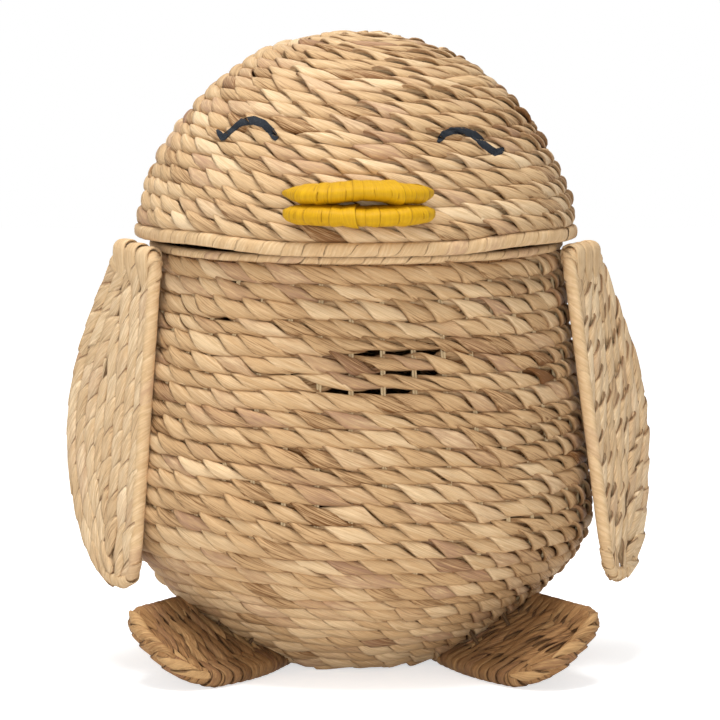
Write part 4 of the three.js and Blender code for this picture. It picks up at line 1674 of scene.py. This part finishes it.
@dataclass
class Foot:
    """One flat foot: rows of twining across it and a thick bound edge, cut off by the bowl."""

    finishes: Finishes
    name: str
    heading: float
    toe: tuple[float, float]
    hand: int
    seed: int
    body: Body
    belly: float
    length: float = 168
    width: float = 80
    corner: float = 30
    tilt: float = 33
    bead: float = 15
    toe_swell: float = 3.6
    rise: float = 3.2
    row_pitch: float = 11.6
    stake_spacing: float = 26.0
    tuck: float = 3.0
    least_tone: float = -1.3
    ends: list[tuple[Array, Array, float]] = field(default_factory=list)
    twine: Twine = Twine(depth=3.6, edge=1.1, roundness=0.6, thickness=3.6, width_share=1.45,
                         lap=1.3, painted_shade=1.2)
    roll_spacing: float = 17
    roll_half_pitch: float = 5.8
    roll_tone: float = 1.8
    roll: Twine = Twine(depth=3.6, edge=2.2, roundness=1.0, thickness=4.6, lap=1.2, hurry=0.0,
                        width_share=1.1, slant=0.0, size_play=0.12, painted_shade=0.0)

    def __post_init__(self) -> None:
        """Finds the foot's plane."""
        tilt = math.radians(self.tilt)
        x = around(np.radians(self.heading))
        y = self.hand * np.cross(UP, x) * math.cos(tilt) + UP * math.sin(tilt)
        out = np.cross(x, y) * self.hand
        self.panel = Panel(np.array([*self.toe, self.bead / 2]), x, y, out)

    def outline(self) -> Array:
        """The outline of the foot, from the ground edge's front corner on."""
        r, long, wide = self.corner, self.length, self.width
        centres = ((long - r, r, -90), (long - r, wide - r, 0), (r, wide - r, 90), (r, r, 180))
        points = []
        for cx, cy, first in centres:
            angle = np.radians(np.linspace(first, first + 90, 9))
            points.append(np.stack([cx + r * np.cos(angle), cy + r * np.sin(angle)], axis=1))
        return respaced(closed(np.concatenate(points)), 3.0)[:-1]

    def settled(self, guides: list[Guide]) -> list[Guide]:
        """The guides, bellied out at the ground, lifted behind and cut off at the bowl."""
        for guide in guides:
            local = guide.points - self.panel.origin
            along = local @ self.panel.x / self.length
            over = np.clip(local @ self.panel.y / self.width, 0, 1)
            level = unit(self.panel.y * (1.0, 1.0, 0.0))
            hill = bump(0.46, 0.6, along) * (1 - over) ** 2 * self.belly
            swell = self.toe_swell * bump(0.36, 0.45, over) * (1 - smooth(0, 0.3, along))
            guide.points = (guide.points - hill[:, None] * level - swell[:, None] * self.panel.x
                            + UP * (self.rise * over)[:, None])
        return kept_outside(guides, self.in_bowl)

    def in_bowl(self, points: Array) -> Array:
        """Which points lie in the wall of the body, with room for a strand."""
        radius = np.hypot(points[:, 0], points[:, 1])
        depth = self.body.radius_at(points[:, 2]) - radius
        return (depth > 1.0) & (points[:, 2] > 0.5)

    def rows(self) -> list[Row]:
        """The rows, which run across the foot. Notes where they turn over its edges."""
        room = self.length - 2 * self.tuck
        count = int(round(room / self.row_pitch))
        step = room / count
        found = []
        for number in range(count):
            place = self.tuck + (number + 0.5) * step
            near = min(place, self.length - place)
            bite = 0.0
            if near < self.corner:
                bite = self.corner - math.sqrt(self.corner**2 - (self.corner - near) ** 2)
            span = np.linspace(self.tuck + bite * 0.8, self.width - self.tuck - bite * 0.8, 20)
            flat = np.stack([np.full(20, place), span], axis=1)
            found.append(self.panel.row(flat, np.full(20, step / 2), self.stake_spacing,
                                        -span[0], 6.0))
            slope = 0.0 if near >= self.corner else (1 - near / self.corner) * 0.9
            lean = slope if place < self.length / 2 else -slope
            self.ends += [(np.array([place, bite]), unit(np.array([lean, 1.0])), step / 2),
                          (np.array([place, self.width - bite]), unit(np.array([lean, -1.0])),
                           step / 2)]
        return found

    def edge_guides(self) -> list[Guide]:
        """The bound edge: strands turned over both long sides and a thick roll at the toe."""
        outline = self.outline()
        total = float(lengths(closed(outline))[-1])
        toe_start, toe_end = total * 0.5 + 14, total * 0.5 + 102
        corner = Winding(6.5, 1.6, 1.7, 0.6, 0.9, tone_play=0.8, taper=0.6, seed=self.seed + 1)
        under = Winding(13, 1.4, 1.6, 0.6, 0.9, tone=-0.4, seed=self.seed + 4)
        raised = Winding(18, 1.2, 1.6, 0.6, tone=-0.5, taper=0.5, seed=self.seed + 2)
        found = self.panel.bound(outline, self.bead / 2, (
            Stretch(toe_start - 12, toe_start + 10, corner),
            Stretch(toe_start + 6, toe_end - 6, under),
            Stretch(toe_end - 12, toe_end + 12, replace(corner, seed=self.seed + 3)),
            Stretch(total * 0.5 - 70, toe_start - 6, raised),
        ))
        dice = np.random.default_rng(self.seed + 5)
        over = Turnover(radius=6.0, thickness=2.8, face=4.2, reach=19)
        for at, inward, half_width in self.ends:
            found.append(over.guide(self.panel, at, inward, half_width * 1.1,
                                    0.6 * dice.standard_normal(), dice.random()))
        return found + self.toe_roll(outline, toe_start, toe_end, dice)

    def toe_roll(self, outline: Array, start: float, end: float, dice: Dice) -> list[Guide]:
        """The thick pale strands twisted along the toe, from one place on the edge to another."""
        path, aside, facing = self.panel.edge(outline)
        along = lengths(path)
        toe = (along >= start) & (along <= end)
        phase = (along[toe] - start) * math.pi / self.roll_spacing
        even = np.linspace(0, phase[-1], int(phase[-1] / math.pi * self.roll.steps))
        line, out, rise = (read_at(even, phase, part[toe])
                           for part in (path + aside * 3.4 + facing * 3.0, facing, aside))
        half_pitch = np.full(len(even), self.roll_half_pitch)
        rolled = self.roll.strands(Row(line, unit(out), unit(rise), even, half_pitch, 12.0), dice)
        for guide in rolled:
            guide.tone = guide.tone + self.roll_tone
        return rolled

    def build(self) -> None:
        """Makes the foot's pieces."""
        # The feet take the darker strip that stands for the body's shadow, as painted shade.
        name, painted_shade_brown = f"foot_{self.name}", self.finishes["painted_shade_brown"]
        dice = np.random.default_rng(self.seed)
        strands = [guide for row in self.rows() for guide in self.twine.strands(row, dice)]
        for strand in strands:
            strand.tone = np.maximum(strand.tone, self.least_tone)
        section = Section(squareness=0.76, crease_depth=0.3, seed=self.seed)
        settle(swept(name + "_strands", self.settled(strands), section, painted_shade_brown), "basket",
               "foot_weave", name + "_weave")
        settle(swept(name + "_edge", self.settled(self.edge_guides()), STRIP_SECTION, painted_shade_brown),
               "basket", "foot_weave", name + "_binding")
        line = self.settled([core_guide(*self.panel.edge(self.outline()), 1, 1)])
        wire = max(line, key=lambda guide: len(guide.points))
        hidden_wire(name + "_wire", "basket", wire.points, unit(wire.side), unit(wire.depth),
                    self.finishes["wire"])


# Beak


@dataclass(frozen=True)
class Pad:
    """One half of the beak.

    Seams says where its wraps meet and fold where a crumpled fold lies. Sag and raised move its
    middle up, and left_end holds the two powers that round its left end.
    """

    node: str
    middle: float
    seams: tuple[float, ...]
    fold: float
    sag: float
    raised: float
    left_end: tuple[float, float]
    seed: int


@dataclass(frozen=True)
class Wrap:
    """One width of strip round a pad: its borders, its colour and how it stands out and laps."""

    first: float
    last: float
    tone: float
    blush: float
    lap: float
    proud: float = 0.0


@dataclass
class Spine:
    """A pad's middle line over places on its length, its way back and its half sizes."""

    places: Array
    path: Array
    back: Array
    wide: Array
    tall: Array

    def skin(self, x: Array, turn: Array, inset: float) -> Array:
        """Points under the pad's skin at places along it, one for each angle."""
        wide, tall = (np.interp(x, self.places, size) - inset for size in (self.wide, self.tall))
        back = unit(read_at(x, self.places, self.back))
        return (read_at(x, self.places, self.path)
                + back * (wide * squared(np.cos(turn), 0.85))[:, None]
                + UP * (tall * squared(np.sin(turn), 0.85))[:, None])


@dataclass
class Beak:
    """The two yellow pads, each wrapped with strip from side to side."""

    finishes: Finishes
    slices: int = 81
    half_width: float = 58.6
    half_height: float = 9.1
    blunt: float = 3.4
    bow: float = 5.0
    thickness: float = 1.5
    lap: float = 0.85
    widest: float = 7.5
    overlap: float = 1.8
    least_depth: float = 7.0

    def spine(self, plan: Pad) -> Spine:
        """The shape of one pad, read from its solid."""
        corners = read_corners(plan.node)
        low, high = corners.min(0), corners.max(0)
        tree = tree_of(frame["nodes"][plan.node])
        height = float((low[2] + high[2]) / 2)
        places = np.linspace(-0.995, 0.995, self.slices) * self.half_width
        front = self.face(tree, places, low[1] - 20, height, 1)
        rear = self.face(tree, places, high[1] + 20, height, -1)
        power, root = (np.where(places < 0, left, right)
                       for left, right in zip(plan.left_end, (self.blunt, 1 / self.blunt)))
        blunt = (1 - np.abs(places / self.half_width)**power) ** root
        rise = plan.sag * bump(6, 42, places) + plan.raised
        path = np.stack([places + plan.middle, (front + rear) / 2, height + rise], axis=1)
        back = unit(np.cross(tangents(path), UP))
        wide = np.maximum((rear - front) / 2 * np.abs(back[:, 1]), self.least_depth) * blunt
        tall = self.half_height * blunt * (1 - 0.11 * bump(2, 44, places))
        return Spine(places, path, back, wide, tall)

    def wraps(self, plan: Pad, dice: Dice) -> list[Wrap]:
        """The wraps of a pad, in narrow widths so that they follow it."""
        found = [Wrap(plan.fold - 5, plan.fold + 5, 0.3, 0.2, lap=1.1, proud=0.9)]
        for first, last in zip(plan.seams, plan.seams[1:]):
            marks = np.linspace(first, last, max(int((last - first) / self.widest), 1) + 1)
            tone, blush = 0.7 * dice.standard_normal(), dice.random()
            found += [Wrap(a, b, tone, blush, lap=self.lap * (a == first))
                      for a, b in zip(marks, marks[1:])]
        return found

    def pad(self, plan: Pad) -> Piece:
        """One pad, wrapped in the space of its solid."""
        spine = self.spine(plan)
        turn = np.linspace(math.pi / 2, math.pi / 2 + TURN, 49)
        same = np.ones(len(turn))
        dice = np.random.default_rng(plan.seed)
        guides = []
        for wrap in self.wraps(plan, dice):
            centre = (wrap.first + wrap.last) / 2
            half = (wrap.last - wrap.first) / 2 + self.overlap
            wave = 3.5 if wrap.proud else 0.5
            line = (centre + self.bow * centre / self.half_width * np.cos(turn)
                    + wave * np.sin(turn * 2 + dice.random() * TURN) / 2)
            spot, before, after = (spine.skin(line + way, turn, self.thickness)
                                   for way in (0.0, -half, half))
            side = (after - before) / 2
            normal = unit(np.cross(side, tangents(spot)))
            facing = np.einsum("ij,ij->i", normal, spot - spot[:-1].mean(0))
            normal = normal * np.sign(facing)[:, None]
            hand = -1.0 if centre < plan.fold else 1.0
            guides.append(Guide(spot + normal * (self.thickness / 2 + wrap.proud),
                                side + normal * (wrap.lap * hand), normal * self.thickness / 2,
                                same * wrap.tone, same * wrap.blush,
                                start=float(wrap.tone * 100 + 300)))
        wide, tall = np.maximum(spine.wide - 3.4, 0.4), np.maximum(spine.tall - 3.0, 0.4)
        same = np.zeros(len(spine.path))
        guides.append(Guide(spine.path, spine.back * wide[:, None], UP * tall[:, None], same,
                            same))
        section = Section(sides=14, squareness=0.8, crease_depth=0.2, crease_length=9.0,
                          crease_width=1.8, seed=plan.seed)
        return swept(plan.node + "_strips", guides, section, self.finishes["yellow"])

    def face(self, tree: BVHTree, places: Array, start: float, height: float,
             way: int) -> Array:
        """How far back a pad's face lies along its middle, past the holes of its cords.

        Args:
            tree: the pad's solid.
            places: where along the pad to look.
            start: how far back the looking starts.
            height: the height of the pad's middle.
            way: 1 to look from the front and -1 from behind.

        Returns:
            The distances, one for each place.
        """
        found = []
        for lift in (0.0, self.half_height * 0.55, -self.half_height * 0.55):
            hits = (tree.ray_cast(Vector((x, start, height + lift)), Vector((0, way, 0)))[0]
                    for x in places)
            found.append([way * hit[1] if hit else math.inf for hit in hits])
        middle, *others = np.array(found)
        sound = np.isfinite(middle) & (middle <= np.minimum(*others) + 0.5)
        return way * np.interp(places, places[sound], middle[sound])

    def build(self) -> None:
        """Makes both pads."""
        upper = Pad("beak_upper", 1.0, (-57, -41, -28, -2, 21, 38, 56), fold=25, sag=3.1,
                    raised=0.5, left_end=(4.0, 0.6), seed=41)
        lower = Pad("beak_lower", 2.5, (-56, -50, -44, -19, 4, 24, 44, 50, 56), fold=-8,
                    sag=-0.9, raised=3.2, left_end=(3.4, 0.3), seed=42)
        for plan in (upper, lower):
            settle(self.pad(plan), "lid", "yellow_strip", plan.node)


# Eyes


@dataclass
class Eyes:
    """The two closed eyes, drawn in paint over the strands of the lid.

    Each stroke holds places in pixels of the picture, with the stroke's width in millimetres.
    """

    finishes: Finishes
    studio: "Studio"
    lid: list[Piece]
    left: tuple[tuple[float, float, float], ...] = (
        (217, 130, 3.6), (223, 138, 5.2), (230, 132, 4.2), (238, 125, 5.0), (243, 122, 6.4),
        (254, 120.5, 7.2), (264, 124, 6.6), (271, 131, 6.0), (277, 140, 6.2),
    )
    right: tuple[tuple[float, float, float], ...] = (
        (438, 142, 4.8), (444, 134, 5.6), (453, 130.5, 6.0), (463, 130.5, 6.4),
        (472, 133.5, 6.6), (479, 139, 6.6), (484, 145, 6.0), (489, 148.5, 5.8),
        (495, 152.5, 6.0), (501, 151, 5.2), (503, 147, 4.4),
    )
    proud: float = 0.45
    thickness: float = 0.6
    step: float = 0.7
    lanes: int = 9
    bridge: int = 3
    deepest_pull: float = 3.0
    tear: float = 4.0

    def bridged(self, found: Array, ways: Array) -> Array:
        """The painted points, pulled forward where the brush bridges a narrow seam."""
        depth = found[:, :, 1]
        padded = np.pad(depth, self.bridge, mode="edge")
        size = 2 * self.bridge + 1
        windows = np.lib.stride_tricks.sliding_window_view(padded, (size, size))
        nearest = np.nanpercentile(windows.reshape(*depth.shape, -1), 35, axis=-1)
        pull = np.clip(depth - nearest, 0, self.deepest_pull)
        return found - ways * (pull / ways[:, :, 1])[:, :, None]

    def draped(self, stroke: Array, tree: BVHTree) -> Array:
        """The places on the lid that a stroke covers, in lanes, with no number where it misses."""
        scale = self.studio.scale_at(0)
        drawn = respaced(stroke * (1, 1, 1 / scale), self.step / scale)
        line, width = drawn[:, :2], drawn[:, 2]
        along = tangents(line)
        across = np.stack([-along[:, 1], along[:, 0]], axis=1)
        total = lengths(line)
        taper = np.sqrt(smooth(-2, 5, total) * smooth(-2, 5, total[-1] - total))
        lanes = np.linspace(-1, 1, self.lanes)
        eye, ways = self.studio.rays(line[:, None, :] + across[:, None, :] * lanes[None, :, None]
                                     * (width * taper / 2)[:, None, None])
        found = np.full((len(line), self.lanes, 3), np.nan)
        for spot in np.ndindex(found.shape[:2]):
            hit, normal, *_ = tree.ray_cast(Vector(eye), Vector(ways[spot]))
            if hit:
                found[spot] = np.array(hit) + np.array(normal) * self.proud
        return self.bridged(found, ways)

    def coat(self, name: str, found: Array) -> Piece:
        """A thin closed sheet of paint over some places, torn where they lie far apart."""
        index, quads = {}, []
        for i, j in np.ndindex(len(found) - 1, self.lanes - 1):
            ring = [(i, j), (i, j + 1), (i + 1, j + 1), (i + 1, j)]
            depths = [found[k][1] for k in ring]
            if not any(map(math.isnan, depths)) and max(depths) - min(depths) <= self.tear:
                quads.append(tuple(index.setdefault(k, len(index)) for k in ring))
        mesh = bpy.data.meshes.new(name)
        mesh.from_pydata([tuple(found[k] * MM) for k in index], [], quads)
        mesh.materials.append(self.finishes["paint"])
        piece = linked(name, mesh)
        solid = piece.modifiers.new("coat", "SOLIDIFY")
        solid.thickness = self.thickness * MM
        solid.offset = -1
        return baked(piece, solid)

    def build(self) -> None:
        """Paints both eyes on the lid."""
        tree = tree_of(*self.lid)
        for name, stroke in (("eye_left", self.left), ("eye_right", self.right)):
            settle(self.coat(name, self.draped(np.array(stroke), tree)), "lid", "weave")


# Studio


@dataclass
class Studio:
    """The camera, the lamps and the floor, which aren't part of the basket."""

    camera_place: tuple[float, float, float] = (0.0, -3825, 677)
    camera_aim: float = 265
    lens: float = 226.3
    shift: tuple[float, float] = (0.0056, -0.0176)
    floor_size: float = 9000
    picture_centre: tuple[float, float] = (356, 347.3)
    focal: float = 4526
    lamp_size: float = 1.2
    lamps: tuple[tuple[str, tuple[float, float, float], float], ...] = (
        ("top lamp", (-0.2, -0.5, 2.68), 65),
        ("low lamp", (0.1, -2.6, 0.2), 42),
        ("left lamp", (-2.85, -0.35, 1.2), 9),
    )
    sky: float = 0.41
    sky_shown: float = 1.0

    def scale_at(self, y: float) -> float:
        """How many millimetres a pixel covers at a depth."""
        return (y - self.camera_place[1]) / self.focal

    def rays(self, pixels: Array) -> tuple[Array, Array]:
        """The camera's place, and the direction in which it sees each pixel."""
        place = np.array(self.camera_place, float)
        forward = unit(np.array([0, 0, self.camera_aim]) - place)
        right = unit(np.cross(forward, UP))
        across = (pixels[..., :1] - self.picture_centre[0]) * right
        down = (pixels[..., 1:2] - self.picture_centre[1]) * np.cross(right, forward)
        return place, unit(forward * self.focal + across - down)

    def aimed(self, name: str, data: bpy.types.ID, place: Vector) -> Piece:
        """A camera or lamp that looks at the basket's middle."""
        made = linked(name, data)
        made.location = place
        way = Vector((0, 0, self.camera_aim * MM)) - made.location
        made.rotation_euler = way.to_track_quat("-Z", "Y").to_euler()
        return made

    def camera(self) -> None:
        """The camera, at the photograph's height and distance."""
        data = bpy.data.cameras.new("camera")
        data.lens = self.lens
        data.sensor_width = 36
        data.shift_x, data.shift_y = self.shift
        data.clip_end = 100
        place = Vector(self.camera_place) * MM
        bpy.context.scene.camera = self.aimed("camera", data, place)

    def lamp(self, name: str, place: tuple[float, float, float], power: float) -> None:
        """A soft square lamp."""
        data = bpy.data.lights.new(name, "AREA")
        data.size = self.lamp_size
        data.energy = power
        self.aimed(name, data, Vector(place))

    def floor(self) -> None:
        """A pale floor that keeps the basket's shadow."""
        half = self.floor_size / 2 * MM
        mesh = bpy.data.meshes.new("floor")
        mesh.from_pydata([(-half, -half, 0), (half, -half, 0), (half, half, 0), (-half, half, 0)],
                         [], [(0, 1, 2, 3)])
        mesh.materials.append(FloorFinish().material())
        linked("floor", mesh)

    def world(self) -> None:
        """An even pale sky that shows white behind the basket."""
        world = bpy.data.worlds.new("studio")
        bpy.context.scene.world = world
        world.use_nodes = True
        world.node_tree.nodes.clear()
        tree = Tree(world.node_tree)
        strength = tree.sum("MULTIPLY_ADD", seen_share(tree, "Is Transmission Ray"),
                            self.sky_shown - self.sky, self.sky)
        sky = tree.add("ShaderNodeBackground", {"Color": (1, 1, 1, 1), "Strength": strength})
        tree.shown(sky.outputs[0], "ShaderNodeOutputWorld")

    def build(self) -> None:
        """Sets up the studio."""
        bpy.context.scene.view_settings.view_transform = "Standard"
        self.camera()
        for name, place, power in self.lamps:
            self.lamp(name, place, power)
        self.floor()
        self.world()


def main() -> None:
    """Builds the basket's pieces in order, then the camera, the lights and the floor."""
    logging.basicConfig(level=logging.INFO, format="%(name)s: %(message)s")
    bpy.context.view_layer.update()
    TREES["strips"] = strips_along_guides()
    TREES["round"] = pieces_round_axis()
    TREES["fibre"] = plant_fibre()
    finishes = {name: finish.material() for name, finish in FINISHES.items()}
    for name, node in frame["nodes"].items():
        node.data.materials.clear()
        # The feet's ties take the darker cord, as painted shade for the body's shadow.
        tied = "painted shade tie" if name.startswith("foot") else "tie"
        node.data.materials.append(finishes[tied if "_tie_" in name else "wire"])
    studio = Studio()
    body = Body(finishes)
    body.build()
    dome = Lid(finishes).build()
    Wing(finishes, "left", 124.8, seed=500, front_pitch=21, tip_pitch=12, top_rise=4,
         swell=3.0, lead=0.0).build()
    Wing(finishes, "right", 66, seed=600, front_pitch=25, tip_pitch=10, swell=10.0,
         lead=5.5).build()
    Foot(finishes, "left", 61, (-132.1, -171.1), 1, 700, body, belly=13.0).build()
    Foot(finishes, "right", 119, (144.9, -171.1), -1, 800, body, belly=10.0).build()
    Beak(finishes).build()
    Eyes(finishes, studio, dome).build()
    studio.build()


if __name__ == "__main__":
    main()
